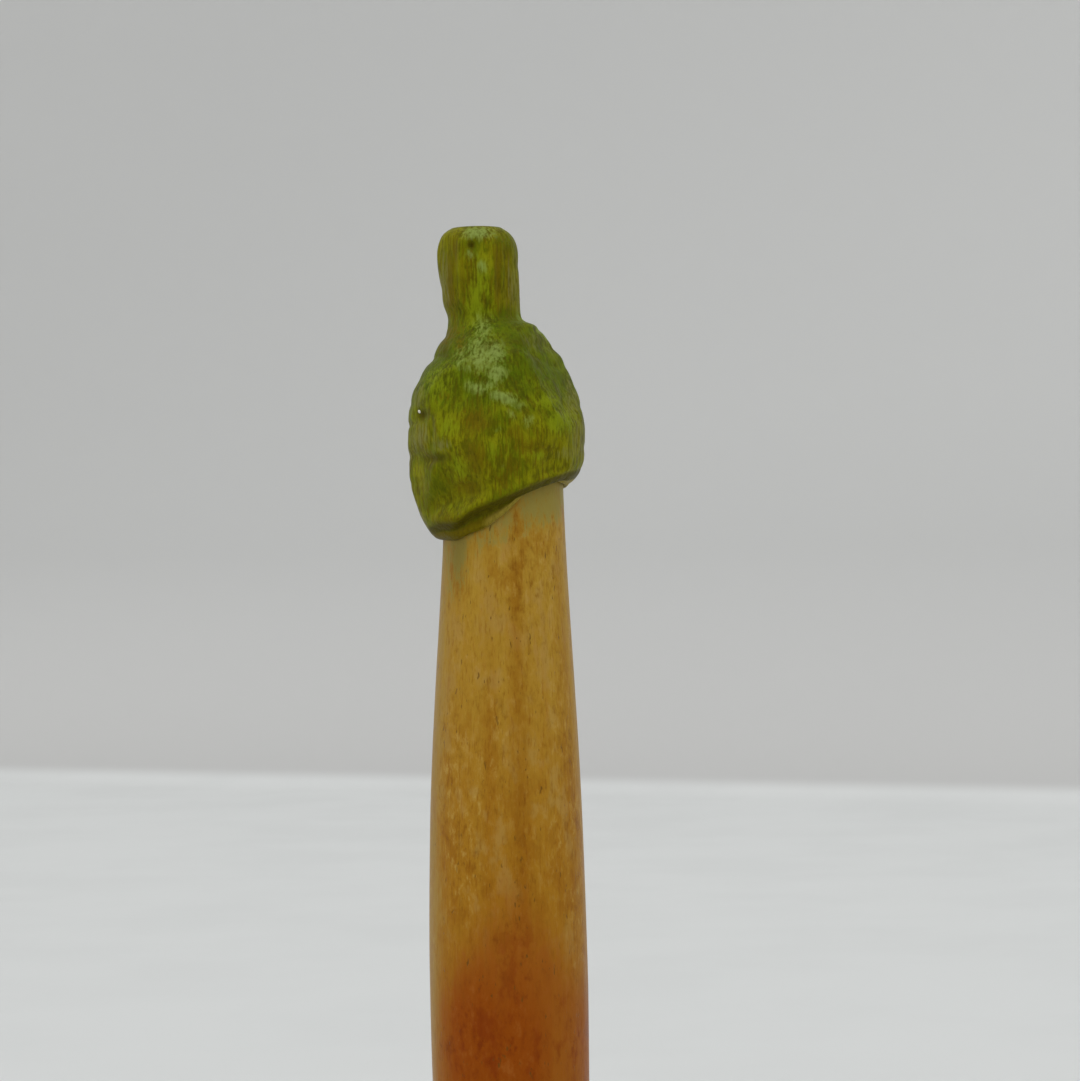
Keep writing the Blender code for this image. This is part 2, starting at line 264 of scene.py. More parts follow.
@dataclass(frozen=True)
class GreenStain:
    """Brushed green stain over carved wood, with pale worn spots, painted shade in its cuts and groove, and
    painted sheen along its edges.
    """

    olive: Colour = (0.190, 0.184, 0.0008)
    deep: Colour = (0.108, 0.100, 0.0004)
    light: Colour = (0.234, 0.234, 0.003)
    leaf: Colour = (0.082, 0.106, 0.0004)
    lime: Colour = (0.200, 0.245, 0.004)
    mint: Colour = (0.228, 0.298, 0.066)
    brown: Colour = (0.135, 0.098, 0.0005)
    # Dark stain, and painted shade in the cuts and the groove over the lip.
    dark: Colour = (0.060, 0.046, 0.0003)
    # Grey stain, and painted sheen along the head's left and right edges.
    grey: Colour = (0.190, 0.180, 0.044)
    bare: Colour = (0.255, 0.195, 0.026)

    def material(self) -> bpy.types.Material:
        """Build the material; it reads the stain attributes of the head.

        Returns:
            The material.
        """
        g = Graph("green_stain")
        dabs = g.noise((820.0, 820.0, 520.0), 5.0, 0.62, (7.0, 2.0, 5.0))
        strokes = g.noise((4300.0, 4300.0, 760.0), 3.0, 0.62)
        streak = g.noise((5600.0, 5600.0, 260.0), 2.0, 0.55, (3.0, 1.0, 2.0))
        speck = g.noise((5200.0, 5200.0, 2600.0), 3.0, 0.65, (1.0, 8.0, 4.0))
        hue = g.noise((420.0, 420.0, 300.0), 3.0, 0.55, (2.0, 9.0, 3.0))
        colour = g.mix(g.ease(hue, 0.40, 0.60), self.olive, (0.128, 0.150, 0.0006))
        colour = g.mix(g.ease(dabs, 0.50, 0.38, 0.0, 0.95), colour, self.deep)
        colour = g.mix(g.ease(dabs, 0.54, 0.66, 0.0, 0.90), colour, self.light)
        colour = g.mix(g.ease(strokes, 0.50, 0.70, 0.0, 0.7), colour, self.light)
        colour = g.mix(g.ease(strokes, 0.49, 0.32, 0.0, 0.7), colour, self.deep)
        colour = g.mix(g.ease(streak, 0.50, 0.30, 0.0, 0.8), colour, self.brown)
        colour = g.mix(g.attribute("fresh"), colour, (0.71, 0.89, 0.57), "MULTIPLY")
        breakup = g.math("ADD", g.math("MULTIPLY", strokes, 0.36), g.math("MULTIPLY", speck, 0.24))
        breakup = g.math("ADD", breakup, g.math("MULTIPLY", dabs, 0.40))
        brushed = g.math("ADD", g.math("MULTIPLY", streak, 0.6), g.math("MULTIPLY", breakup, 0.4))
        # Dark also lays painted shade in the cuts and groove, and grey lays painted sheen along the edges.
        for stain, tint, most, ragged, texture in (
            (Stain.LEAF, self.leaf, 0.85, 4.5, breakup),
            (Stain.LIME, self.lime, 0.8, 4.2, breakup),
            (Stain.BROWN, self.brown, 0.9, 4.5, brushed),
            (Stain.GREY_AND_SHEEN, self.grey, 0.85, 4.0, brushed),
            (Stain.MINT, self.mint, 0.8, 3.6, breakup),
            (Stain.BARE, self.bare, 0.95, 1.5, breakup),
            (Stain.DARK_AND_SHADE, self.dark, 0.85, 3.0, breakup),
        ):
            place = g.attribute(stain.value)
            worn = g.math("ADD", place, g.math("MULTIPLY", g.math("SUBTRACT", texture, 0.5), ragged))
            share = g.math("MULTIPLY", g.ease(worn, 0.10, 0.95, 0.0, most), g.ease(place, 0.02, 0.30))
            colour = g.mix(share, colour, tint)
        colour = g.mix(g.ease(strokes, 0.54, 0.34, 0.0, 0.75), colour, (0.74, 0.74, 0.60), "MULTIPLY")
        colour = g.mix(g.ease(speck, 0.46, 0.30, 0.0, 0.55), colour, (0.62, 0.62, 0.50), "MULTIPLY")
        normal = g.bump(dabs, 0.00022, 0.6)
        normal = g.bump(strokes, 0.00007, 0.6, normal)
        normal = g.bump(speck, 0.00004, 0.4, normal)
        rough = g.ease(dabs, 0.3, 0.7, 0.40, 0.56)
        return g.dress(colour, rough, normal, Specular_IOR_Level=0.04, Sheen_Weight=0.05, Sheen_Roughness=0.35)


@dataclass(frozen=True)
class HoneyStain:
    """Thin stain on turned wood, from honey at the top to red-brown lower down."""

    honey: Colour = (0.405, 0.240, 0.026)
    amber: Colour = (0.355, 0.162, 0.009)
    tan: Colour = (0.300, 0.195, 0.040)
    straw: Colour = (0.425, 0.277, 0.070)
    rust: Colour = (0.258, 0.055, 0.0005)
    ember: Colour = (0.295, 0.088, 0.005)
    green: Colour = (0.272, 0.222, 0.046)
    pore: Colour = (0.120, 0.055, 0.006)
    fleck: Colour = (0.500, 0.330, 0.075)

    def material(self) -> bpy.types.Material:
        """Build the material; it reads the attributes that the body lays.

        Returns:
            The material.
        """
        g = Graph("honey_stain")
        fibre = g.noise((5600.0, 5600.0, 900.0), 3.0, 0.62)
        grain = g.noise((3300.0, 3300.0, 150.0), 3.0, 0.55, (1.0, 6.0, 2.0))
        broad = g.noise((1000.0, 1000.0, 70.0), 2.0, 0.5, (4.0, 2.0, 1.0))
        patch = g.noise((560.0, 560.0, 300.0), 4.0, 0.6, (9.0, 1.0, 6.0))
        mottle = g.noise((1500.0, 1500.0, 900.0), 5.0, 0.68, (2.0, 3.0, 8.0))
        wander = g.math("MULTIPLY", g.math("SUBTRACT", broad, 0.5), 0.5)
        wander = g.math("ADD", wander, g.math("MULTIPLY", g.math("SUBTRACT", grain, 0.5), 0.3))
        wander = g.math("ADD", wander, g.math("MULTIPLY", g.math("SUBTRACT", patch, 0.5), 0.8))
        wander = g.math("ADD", wander, g.math("MULTIPLY", g.math("SUBTRACT", mottle, 0.5), 0.7))
        warm = g.ease(g.math("ADD", g.attribute("warm"), wander), 0.0, 1.0)
        colour = g.mix(warm, self.honey, self.amber)
        colour = g.mix(g.ease(patch, 0.50, 0.65, 0.0, 0.52), colour, self.straw)
        colour = g.mix(g.ease(patch, 0.49, 0.36, 0.0, 0.7), colour, (0.84, 0.70, 0.42), "MULTIPLY")
        dotted = g.ease(g.noise((260.0, 260.0, 110.0), 2.0, 0.5, (3.0, 8.0, 1.0)), 0.38, 0.62, 0.45, 0.95)
        pale = g.math("MULTIPLY", g.ease(mottle, 0.51, 0.70, 0.0, 0.72), dotted)
        colour = g.mix(pale, colour, self.fleck)
        murk = g.math("MULTIPLY", g.ease(mottle, 0.52, 0.26), dotted)
        colour = g.mix(murk, colour, (0.66, 0.52, 0.28), "MULTIPLY")
        colour = g.mix(g.ease(grain, 0.44, 0.30, 0.0, 0.4), colour, (0.82, 0.70, 0.46), "MULTIPLY")
        colour = g.mix(g.ease(fibre, 0.48, 0.28, 0.0, 0.75), colour, (0.74, 0.62, 0.42), "MULTIPLY")
        colour = g.mix(g.ease(fibre, 0.60, 0.76, 0.0, 0.25), colour, self.fleck)
        colour = g.mix(g.attribute("tone"), colour, (0.80, 0.66, 0.36), "MULTIPLY")
        strip = g.ease(g.math("ADD", g.attribute("strip"), wander), 0.1, 0.9, 0.0, 0.65)
        strip = g.math("MULTIPLY", strip, g.ease(g.attribute("strip"), 0.0, 0.2))
        colour = g.mix(strip, colour, self.tan)
        soft = g.math("MULTIPLY", wander, 0.8)
        ember = g.ease(g.math("ADD", g.attribute("ember"), soft), 0.0, 0.9, 0.0, 0.96)
        colour = g.mix(ember, colour, self.ember)
        rust = g.ease(g.math("ADD", g.attribute("rust"), soft), 0.05, 0.85, 0.0, 0.97)
        colour = g.mix(rust, colour, self.rust)
        stained = g.ease(g.attribute("ember"), 0.2, 0.9)
        colour = g.mix(g.math("MULTIPLY", murk, stained), colour, (0.68, 0.48, 0.30), "MULTIPLY")
        faded = g.math("MULTIPLY", g.math("MULTIPLY", pale, stained), 0.55)
        colour = g.mix(faded, colour, (0.37, 0.125, 0.020))
        dull = g.math("MULTIPLY", g.ease(patch, 0.48, 0.34), stained)
        colour = g.mix(dull, colour, (0.84, 0.68, 0.50), "MULTIPLY")
        ragged = g.math("MULTIPLY", g.math("SUBTRACT", g.math("ADD", fibre, mottle), 1.0), 1.6)
        ragged = g.math("ADD", ragged, wander)
        bleed = g.ease(g.math("ADD", g.attribute("bleed"), ragged), 0.10, 0.95, 0.0, 0.9)
        bleed = g.math("MULTIPLY", bleed, g.ease(g.attribute("bleed"), 0.0, 0.25))
        colour = g.mix(bleed, colour, self.green)
        # Painted shade under the head's rim, and the green run's darker tone.
        colour = g.mix(g.attribute("shade"), colour, (0.42, 0.36, 0.16), "MULTIPLY")
        dash = g.noise((5200.0, 5200.0, 1700.0), 1.0, 0.4, (2.0, 5.0, 3.0))
        thin = g.noise((900.0, 900.0, 420.0), 1.0, 0.5, (6.0, 6.0, 2.0))
        pores = g.math("MULTIPLY", g.ease(dash, 0.665, 0.735), g.ease(thin, 0.50, 0.62))
        colour = g.mix(g.math("MULTIPLY", pores, 0.7), colour, self.pore)
        normal = g.bump(fibre, 0.00005, 0.5)
        normal = g.bump(mottle, 0.00005, 0.4, normal)
        normal = g.bump(g.math("SUBTRACT", 1.0, pores), 0.00006, 0.5, normal)
        rough = g.ease(patch, 0.3, 0.7, 0.36, 0.50)
        return g.dress(colour, rough, normal, Specular_IOR_Level=0.06, Sheen_Weight=0.14, Sheen_Roughness=0.3)


@dataclass(frozen=True)
class CaneFinish:
    """Varnished cane with fine lengthwise fibres and pale and dark patches."""

    pale: Colour = (0.52, 0.37, 0.17)
    dark: Colour = (0.36, 0.22, 0.08)

    def material(self) -> bpy.types.Material:
        """Build the material.

        Returns:
            The material.
        """
        g = Graph("varnished_cane")
        fibre = g.noise((6000.0, 6000.0, 120.0), 3.0, 0.6)
        patch = g.noise((500.0, 500.0, 160.0), 2.0, 0.5, (3.0, 3.0, 3.0))
        colour = g.mix(g.ease(fibre, 0.35, 0.65), self.dark, self.pale)
        colour = g.mix(g.ease(patch, 0.5, 0.75, 0.0, 0.5), colour, self.dark)
        normal = g.bump(fibre, 0.00004, 0.5)
        rough = g.ease(patch, 0.3, 0.7, 0.28, 0.42)
        return g.dress(colour, rough, normal, Coat_Weight=0.4, Coat_Roughness=0.15)


@dataclass(frozen=True)
class BrassFinish:
    """Turned brass, dull and bright in soft clouds, with small dark spots and fine turning lines."""

    name: str = "turned_brass"
    bright: Colour = (0.72, 0.52, 0.22)
    dull: Colour = (0.40, 0.27, 0.11)
    turning: float = 9000.0
    roughness: float = 0.26

    def material(self) -> bpy.types.Material:
        """Build the material.

        Returns:
            The material.
        """
        g = Graph(self.name)
        lines = g.noise((60.0, 60.0, self.turning), 2.0, 0.6)
        cloud = g.noise((330.0, 330.0, 330.0), 5.0, 0.6, (5.0, 1.0, 7.0))
        spots = g.noise((3500.0, 3500.0, 3500.0), 3.0, 0.6, (2.0, 2.0, 9.0))
        colour = g.mix(g.ease(cloud, 0.38, 0.80, 0.0, 0.7), self.bright, self.dull)
        colour = g.mix(g.ease(spots, 0.60, 0.78, 0.0, 0.35), colour, (0.25, 0.17, 0.08))
        rough = g.math("ADD", g.ease(cloud, 0.35, 0.7, self.roughness, self.roughness + 0.2),
                       g.ease(lines, 0.35, 0.7, 0.0, 0.08))
        normal = g.bump(lines, 0.00003, 0.35)
        normal = g.bump(spots, 0.00003, 0.25, normal)
        return g.dress(colour, rough, normal, Metallic=1.0)


@dataclass(frozen=True)
class RubberFinish:
    """Soft red rubber tube, with a bloom and fine pits."""

    red: Colour = (0.42, 0.035, 0.022)
    bloom: Colour = (0.50, 0.12, 0.085)

    def material(self) -> bpy.types.Material:
        """Build the material.

        Returns:
            The material.
        """
        g = Graph("red_rubber")
        cloud = g.noise((900.0, 900.0, 900.0), 3.0, 0.6)
        pits = g.noise((7000.0, 7000.0, 7000.0), 2.0, 0.5, (4.0, 1.0, 1.0))
        colour = g.mix(g.ease(cloud, 0.5, 0.8, 0.0, 0.35), self.red, self.bloom)
        colour = g.mix(g.ease(pits, 0.42, 0.3, 0.0, 0.4), colour, (0.20, 0.015, 0.010))
        normal = g.bump(pits, 0.00004, 0.5)
        rough = g.ease(cloud, 0.3, 0.7, 0.48, 0.66)
        return g.dress(colour, rough, normal, Sheen_Weight=0.15, Sheen_Roughness=0.4)


@dataclass(frozen=True)
class ThreadFinish:
    """Dark waxed thread with fine lengthwise strands."""

    dark: Colour = (0.060, 0.022, 0.012)
    light: Colour = (0.190, 0.075, 0.035)

    def material(self) -> bpy.types.Material:
        """Build the material.

        Returns:
            The material.
        """
        g = Graph("waxed_thread")
        strand = g.noise((5000.0, 5000.0, 16000.0), 2.0, 0.5)
        cloud = g.noise((1200.0, 1200.0, 1200.0), 2.0, 0.5, (1.0, 7.0, 2.0))
        colour = g.mix(g.ease(strand, 0.38, 0.64), self.dark, self.light)
        colour = g.mix(g.ease(cloud, 0.5, 0.7, 0.0, 0.5), colour, self.dark)
        normal = g.bump(strand, 0.00005, 0.6)
        rough = g.ease(cloud, 0.3, 0.7, 0.42, 0.62)
        return g.dress(colour, rough, normal, Sheen_Weight=0.25, Sheen_Roughness=0.5)


@dataclass(frozen=True)
class LeadFinish:
    """Dull lead with soft dents and a grey bloom."""

    def material(self) -> bpy.types.Material:
        """Build the material.

        Returns:
            The material.
        """
        g = Graph("dull_lead")
        cloud = g.noise((900.0, 900.0, 900.0), 4.0, 0.6)
        colour = g.mix(g.ease(cloud, 0.35, 0.7), (0.16, 0.16, 0.17), (0.30, 0.30, 0.31))
        return g.dress(colour, g.ease(cloud, 0.3, 0.7, 0.5, 0.7), g.bump(cloud, 0.0001, 0.4), Metallic=1.0)


@dataclass(frozen=True)
class StageFinish:
    """Plain pale table and wall; the attribute rise goes from table to wall. Painted shade darkens the table
    towards the front and the wall towards its top left and near the floor.
    """

    table: Colour = (0.850, 0.868, 0.868)
    wall: Colour = (0.700, 0.702, 0.697)

    def material(self) -> bpy.types.Material:
        """Build the material.

        Returns:
            The material.
        """
        g = Graph("plain_stage")
        cloud = g.noise((14.0, 14.0, 14.0), 3.0, 0.55)
        table = g.mix(g.ease(cloud, 0.35, 0.7, 0.0, 0.5), self.table, tuple(c * 0.94 for c in self.table))
        # Painted shade: the table darker toward the front, the wall darker toward its top left and near the floor.
        table = g.mix(g.attribute("front_shade"), table, tuple(c * 0.83 for c in self.table))
        wall = g.mix(g.attribute("high"), self.wall, tuple(c * 0.87 for c in self.wall))
        wall = g.mix(g.attribute("low"), wall, tuple(c * 0.93 for c in self.wall))
        colour = g.mix(g.attribute("rise"), table, wall)
        return g.dress(colour, 0.85, None, Specular_IOR_Level=0.1)


# ----------------------------------------------------------------- shop tools


def turned_blank(name: str, profile: list[tuple[float, float]], steps: int) -> bmesh.types.BMesh:
    """Turn a profile about the vertical axis.

    Args:
        name: what is being turned, for the log.
        profile: (radius, height) pairs; it is closed unless it ends on the axis.
        steps: flats round the piece.

    Returns:
        The turned mesh, with its seam and poles merged.
    """
    bm = bmesh.new()
    points = [bm.verts.new((radius, 0.0, height)) for radius, height in profile]
    edges = [bm.edges.new(pair) for pair in zip(points, points[1:])]
    if profile[0][0] > 0.0:
        edges.append(bm.edges.new((points[-1], points[0])))
    bmesh.ops.spin(bm, geom=points + edges, cent=(0.0, 0.0, 0.0), axis=(0.0, 0.0, 1.0),
                   angle=math.tau, steps=steps, use_merge=True)
    bmesh.ops.remove_doubles(bm, verts=bm.verts, dist=1e-6)
    bmesh.ops.recalc_face_normals(bm, faces=bm.faces)
    LOG.debug("turned %s with %d faces", name, len(bm.faces))
    return bm


def rounded(profile: list[tuple[float, float, float]], arc: int = 4) -> list[tuple[float, float]]:
    """Round the corners of a profile.

    Args:
        profile: (radius, height, corner radius) triples, as a closed loop.
        arc: points on each rounded corner.

    Returns:
        The profile as (radius, height) pairs.
    """
    result: list[tuple[float, float]] = []
    count = len(profile)
    for index, (x, z, corner) in enumerate(profile):
        here = Vector((x, z))
        if corner <= 0.0:
            result.append((x, z))
            continue
        before = (Vector(profile[index - 1][:2]) - here)
        after = (Vector(profile[(index + 1) % count][:2]) - here)
        reach = min(corner, before.length * 0.45, after.length * 0.45)
        start = here + before.normalized() * reach
        end = here + after.normalized() * reach
        for step in range(arc + 1):
            u = step / arc
            point = start * (1 - u) ** 2 + here * 2 * u * (1 - u) + end * u * u
            result.append((point.x, point.y))
    return result


def finished(name: str, bm: bmesh.types.BMesh, material: bpy.types.Material) -> bpy.types.Object:
    """Make a finished piece of a mesh, shaded smooth, at the origin.

    Args:
        name: the piece's name.
        bm: its mesh, in metres, in place.
        material: its finish.

    Returns:
        The new object.
    """
    for face in bm.faces:
        face.smooth = True
    mesh = bpy.data.meshes.new(name)
    bm.to_mesh(mesh)
    bm.free()
    mesh.materials.append(material)
    piece = bpy.data.objects.new(name, mesh)
    bpy.context.scene.collection.objects.link(piece)
    return piece


def fitted(piece: bpy.types.Object, body: Body, slot: str, *nodes: str) -> bpy.types.Object:
    """Put a piece on its body in place of the plain solids it stands for.

    Args:
        piece: the finished piece.
        body: the body it moves with.
        slot: the record's material slot; not used.
        nodes: the CAD nodes that it replaces.

    Returns:
        The same piece.
    """
    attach(piece, body.value)
    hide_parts(*nodes)
    LOG.info("%s: %d faces on body %s", piece.name, len(piece.data.polygons), body.value)
    return piece


def points_of(mesh: bpy.types.Mesh) -> np.ndarray:
    """The mesh's points.

    Args:
        mesh: the mesh.

    Returns:
        Rows of X, Y and Z, in metres.
    """
    flat = np.empty(len(mesh.vertices) * 3)
    mesh.vertices.foreach_get("co", flat)
    return flat.reshape(-1, 3)


def faced_outward(mesh: bpy.types.Mesh) -> None:
    """Turn every face of a closed mesh outward again once its points have moved.

    Args:
        mesh: the closed mesh.
    """
    bm = bmesh.new()
    bm.from_mesh(mesh)
    bmesh.ops.recalc_face_normals(bm, faces=bm.faces)
    bm.to_mesh(mesh)
    bm.free()


def painted(mesh: bpy.types.Mesh, name: str, values: np.ndarray) -> None:
    """Store one number for each point as a named attribute."""
    layer = mesh.attributes.new(name, "FLOAT", "POINT")
    layer.data.foreach_set("value", values.astype(np.float32))


def eased(value: np.ndarray, low: float, high: float) -> np.ndarray:
    """A smooth step from 0 at low to 1 at high."""
    share = np.clip((value - low) / (high - low), 0.0, 1.0)
    return share * share * (3.0 - 2.0 * share)


def around(value: np.ndarray, middle: float, width: float) -> np.ndarray:
    """A smooth hump of 1 at the middle."""
    return np.exp(-(((value - middle) / width) ** 2))


def curve_through(rows: list[tuple[float, ...]], where: np.ndarray) -> np.ndarray:
    """Rows of numbers read on a Catmull-Rom curve.

    Args:
        rows: the rows that the curve passes through.
        where: positions along the rows, in row numbers.

    Returns:
        One row for each position.
    """
    table = np.array(rows)
    last = len(rows) - 1
    index = np.clip(np.floor(where).astype(int), 0, last - 1)
    u = (where - index)[:, None]
    a = table[np.maximum(index - 1, 0)]
    b = table[index]
    c = table[index + 1]
    d = table[np.minimum(index + 2, last)]
    return 0.5 * (2 * b + (c - a) * u + (2 * a - 5 * b + 4 * c - d) * u**2 + (3 * b - a - 3 * c + d) * u**3)


# ------------------------------------------------------------------------ head


@dataclass(frozen=True)
class Touch:
    """One brushed or worn spot, one spot of painted shade or sheen, or one cut, on the head. Sizes in millimetres.

    The spot is seen square on from the given azimuth, 0 being the front.
    """

    across: float
    height: float
    width: float
    tall: float
    amount: float
    slant: float = 0.0
    azimuth: float = 0.0

    def weight(self, points: np.ndarray) -> np.ndarray:
        """How much each point belongs to the spot.

        Args:
            points: points in millimetres.

        Returns:
            A share for each point, times the amount.
        """
        turn = math.radians(self.azimuth)
        side = points[:, 0] * math.cos(turn) + points[:, 1] * math.sin(turn)
        facing = points[:, 0] * math.sin(turn) - points[:, 1] * math.cos(turn)
        du = side - self.across
        dv = points[:, 2] - self.height - du * self.slant
        share = np.exp(-((du / self.width) ** 2) - (dv / self.tall) ** 2)
        return self.amount * share * eased(facing, -0.5, 0.8)


@dataclass(frozen=True)
class KnifeFlat:
    """A flat left by one knife stroke: points beyond the plane are cut back to it."""

    azimuth: float
    pitch: float
    reach: float
    height: float = 133.5
    across: float = 0.0
    soft: float = 0.14

    def cut(self, points: np.ndarray) -> np.ndarray:
        """Cut the points back to the plane, with a soft edge.

        Args:
            points: points in millimetres.

        Returns:
            The cut points.
        """
        turn, tilt = math.radians(self.azimuth), math.radians(self.pitch)
        outward = np.array((math.sin(turn) * math.cos(tilt), -math.cos(turn) * math.cos(tilt), math.sin(tilt)))
        over = (points - (self.across, 0.0, self.height)) @ outward - self.reach
        excess = 0.5 * (over + np.sqrt(over * over + self.soft * self.soft)) - 0.5 * self.soft
        return points - np.maximum(excess, 0.0)[:, None] * outward


@dataclass
class CarvedHead:
    """The stalk and skirt, carved from one blank and stained green.

    A section is left offset, left height, right offset, right height, and depth over width.
    """

    sections: tuple[Section, ...] = (
        (-3.95, 149.97, 0.10, 150.00, 0.95),
        (-4.60, 149.50, 0.80, 149.50, 0.96),
        (-4.98, 148.70, 1.27, 148.70, 0.97),
        (-5.10, 147.60, 1.46, 147.60, 0.97),
        (-4.92, 145.80, 1.60, 145.80, 0.97),
        (-4.64, 144.00, 1.58, 144.00, 0.97),
        (-4.28, 142.95, 1.62, 143.15, 0.97),
        (-4.28, 142.30, 2.08, 142.50, 0.97),
        (-4.42, 141.75, 2.95, 142.00, 0.97),
        (-5.04, 140.70, 3.90, 140.80, 0.97),
        (-5.62, 139.60, 4.86, 139.60, 0.97),
        (-6.55, 138.25, 5.45, 138.20, 0.97),
        (-7.26, 136.90, 6.02, 136.80, 0.97),
        (-7.52, 135.50, 6.36, 135.40, 0.97),
        (-7.56, 134.00, 6.58, 134.10, 0.97),
        (-7.60, 132.70, 6.57, 133.00, 0.97),
        (-7.50, 131.20, 6.52, 132.20, 0.97),
        (-7.44, 129.70, 6.46, 131.60, 0.97),
        (-7.05, 128.20, 6.40, 131.25, 0.97),
        (-6.62, 127.00, 6.30, 130.95, 0.97),
        (-6.20, 126.20, 6.18, 130.70, 0.96),
        (-5.98, 125.85, 6.05, 130.35, 0.90),
        (-5.80, 125.62, 5.80, 130.00, 0.86),
        (-5.62, 125.45, 5.52, 129.70, 0.90),
        (-5.40, 125.28, 5.25, 129.50, 0.93),
        (-5.05, 125.18, 5.02, 129.25, 0.95),
        (-4.60, 125.25, 4.60, 129.30, 0.97),
    )
    rings_between: int = 7
    steps: int = 288
    stalk_end: tuple[float, float] = (6.0, 7.6)
    skirt_start: tuple[float, float] = (7.0, 9.5)
    skirt_end: tuple[float, float] = (7.5, 6.0)
    carving_end: tuple[float, float] = (4.5, 3.0)
    cap_shares: tuple[float, ...] = (0.0, 0.25, 0.5, 0.72, 0.88, 0.96)
    base_shares: tuple[float, ...] = (0.75, 0.4, 0.0)
    flats: tuple[KnifeFlat, ...] = (
        KnifeFlat(-58.0, -6.0, 7.02),
        KnifeFlat(-22.0, 12.0, 6.62),
        KnifeFlat(-32.0, -18.0, 6.92),
        KnifeFlat(22.0, 16.0, 6.42),
        KnifeFlat(40.0, -10.0, 6.55),
        KnifeFlat(5.0, -6.0, 6.62),
        KnifeFlat(60.0, 26.0, 6.12),
        KnifeFlat(110.0, 4.0, 6.30),
        KnifeFlat(140.0, 18.0, 6.45),
        KnifeFlat(165.0, -10.0, 6.55),
        KnifeFlat(190.0, 12.0, 6.60),
        KnifeFlat(222.0, -4.0, 6.75),
        KnifeFlat(250.0, 20.0, 6.90),
    )
    stalk_flats: tuple[KnifeFlat, ...] = (
        KnifeFlat(-4.0, 1.0, 2.98, 146.0, -1.72),
        KnifeFlat(-50.0, 2.0, 3.05, 146.0, -1.72),
        KnifeFlat(44.0, -1.0, 2.98, 146.0, -1.72),
        KnifeFlat(95.0, 1.0, 3.12, 146.0, -1.72),
        KnifeFlat(140.0, 2.0, 2.95, 146.0, -1.72),
        KnifeFlat(186.0, -1.0, 2.98, 146.0, -1.72),
        KnifeFlat(232.0, 1.0, 3.02, 146.0, -1.72),
    )
    notches: tuple[Touch, ...] = (
        Touch(-0.4, 141.72, 2.4, 0.22, 0.13, 0.10, 82.0),
        Touch(0.3, 140.35, 2.2, 0.30, 0.15, -0.08, 86.0),
        Touch(0.0, 138.85, 2.6, 0.34, 0.12, 0.06, 80.0),
        Touch(-0.5, 137.10, 2.4, 0.44, 0.07, 0.05, 84.0),
        Touch(0.2, 135.60, 2.4, 0.30, 0.08, 0.05, 84.0),
        Touch(0.0, 132.40, 2.0, 0.40, 0.08, 0.0, 86.0),
        Touch(0.0, 141.30, 2.2, 0.34, 0.14, 0.0, -84.0),
        Touch(-0.2, 139.50, 2.4, 0.34, 0.19, 0.08, -80.0),
        Touch(0.3, 137.60, 2.2, 0.40, 0.05, 0.06, -84.0),
        Touch(-0.3, 135.90, 2.4, 0.30, 0.07, 0.0, -80.0),
        Touch(0.0, 134.40, 2.4, 0.26, 0.17, 0.10, -76.0),
        Touch(-0.2, 131.75, 2.6, 0.34, 0.16, -0.05, -74.0),
        Touch(0.0, 129.70, 2.4, 0.30, 0.08, 0.0, -80.0),
        Touch(0.0, 145.10, 1.6, 0.50, 0.07, 0.0, -84.0),
        Touch(0.0, 146.90, 1.6, 0.40, 0.05, 0.0, 84.0),
    )
    cuts: tuple[Touch, ...] = (
        Touch(-2.29, 148.35, 0.26, 0.24, 0.30),
        Touch(-6.28, 135.05, 0.42, 0.42, 0.30),
        Touch(-5.30, 131.50, 0.95, 0.34, 0.30, 0.16),
        Touch(-4.60, 133.30, 0.60, 1.10, 0.09, 0.60),
        Touch(-5.55, 133.70, 0.22, 1.20, 0.16, 0.0),
        Touch(1.20, 137.30, 0.30, 1.30, 0.10, 0.2),
        Touch(-2.10, 134.80, 0.90, 1.20, 0.10),
        Touch(2.60, 132.10, 1.60, 0.22, 0.12, -0.08),
        Touch(-3.20, 129.30, 1.20, 0.30, 0.12, 0.1),
        Touch(-0.90, 129.60, 0.50, 0.25, 0.12),
        Touch(-3.10, 140.70, 0.35, 0.80, 0.14),
        Touch(-0.20, 145.90, 0.16, 2.60, 0.09),
        Touch(-3.60, 147.00, 0.16, 2.20, 0.07),
        Touch(-1.90, 144.00, 0.14, 2.40, 0.05),
        Touch(0.20, 136.20, 1.60, 0.30, -0.12, -0.28),
        Touch(-1.20, 140.30, 0.30, 1.40, -0.10, 0.15),
        Touch(2.60, 139.60, 1.30, 0.25, 0.12, -0.45),
        Touch(3.60, 136.30, 1.10, 0.22, 0.10, 0.25),
        Touch(-3.10, 136.40, 0.25, 1.00, 0.09, -0.3),
        Touch(-1.60, 132.60, 0.22, 0.90, 0.10, 0.4),
        Touch(1.90, 134.60, 0.50, 0.60, -0.08),
        Touch(-6.50, 133.00, 0.90, 0.75, -0.22),
        Touch(-5.20, 129.40, 1.20, 1.10, -0.12),
        Touch(4.40, 134.50, 1.20, 0.70, -0.06),
    )

    def blank(self) -> bmesh.types.BMesh:
        """Turn the unit blank: radius share against section number, closed at both poles.

        Returns:
            The blank, to be carved.
        """
        last = len(self.sections) - 1
        rings = last * self.rings_between
        profile = [(share, 0.0) for share in self.cap_shares]
        profile += [(1.0, last * ring / rings) for ring in range(rings + 1)]
        profile += [(share, float(last)) for share in self.base_shares]
        return turned_blank("head", profile, self.steps)

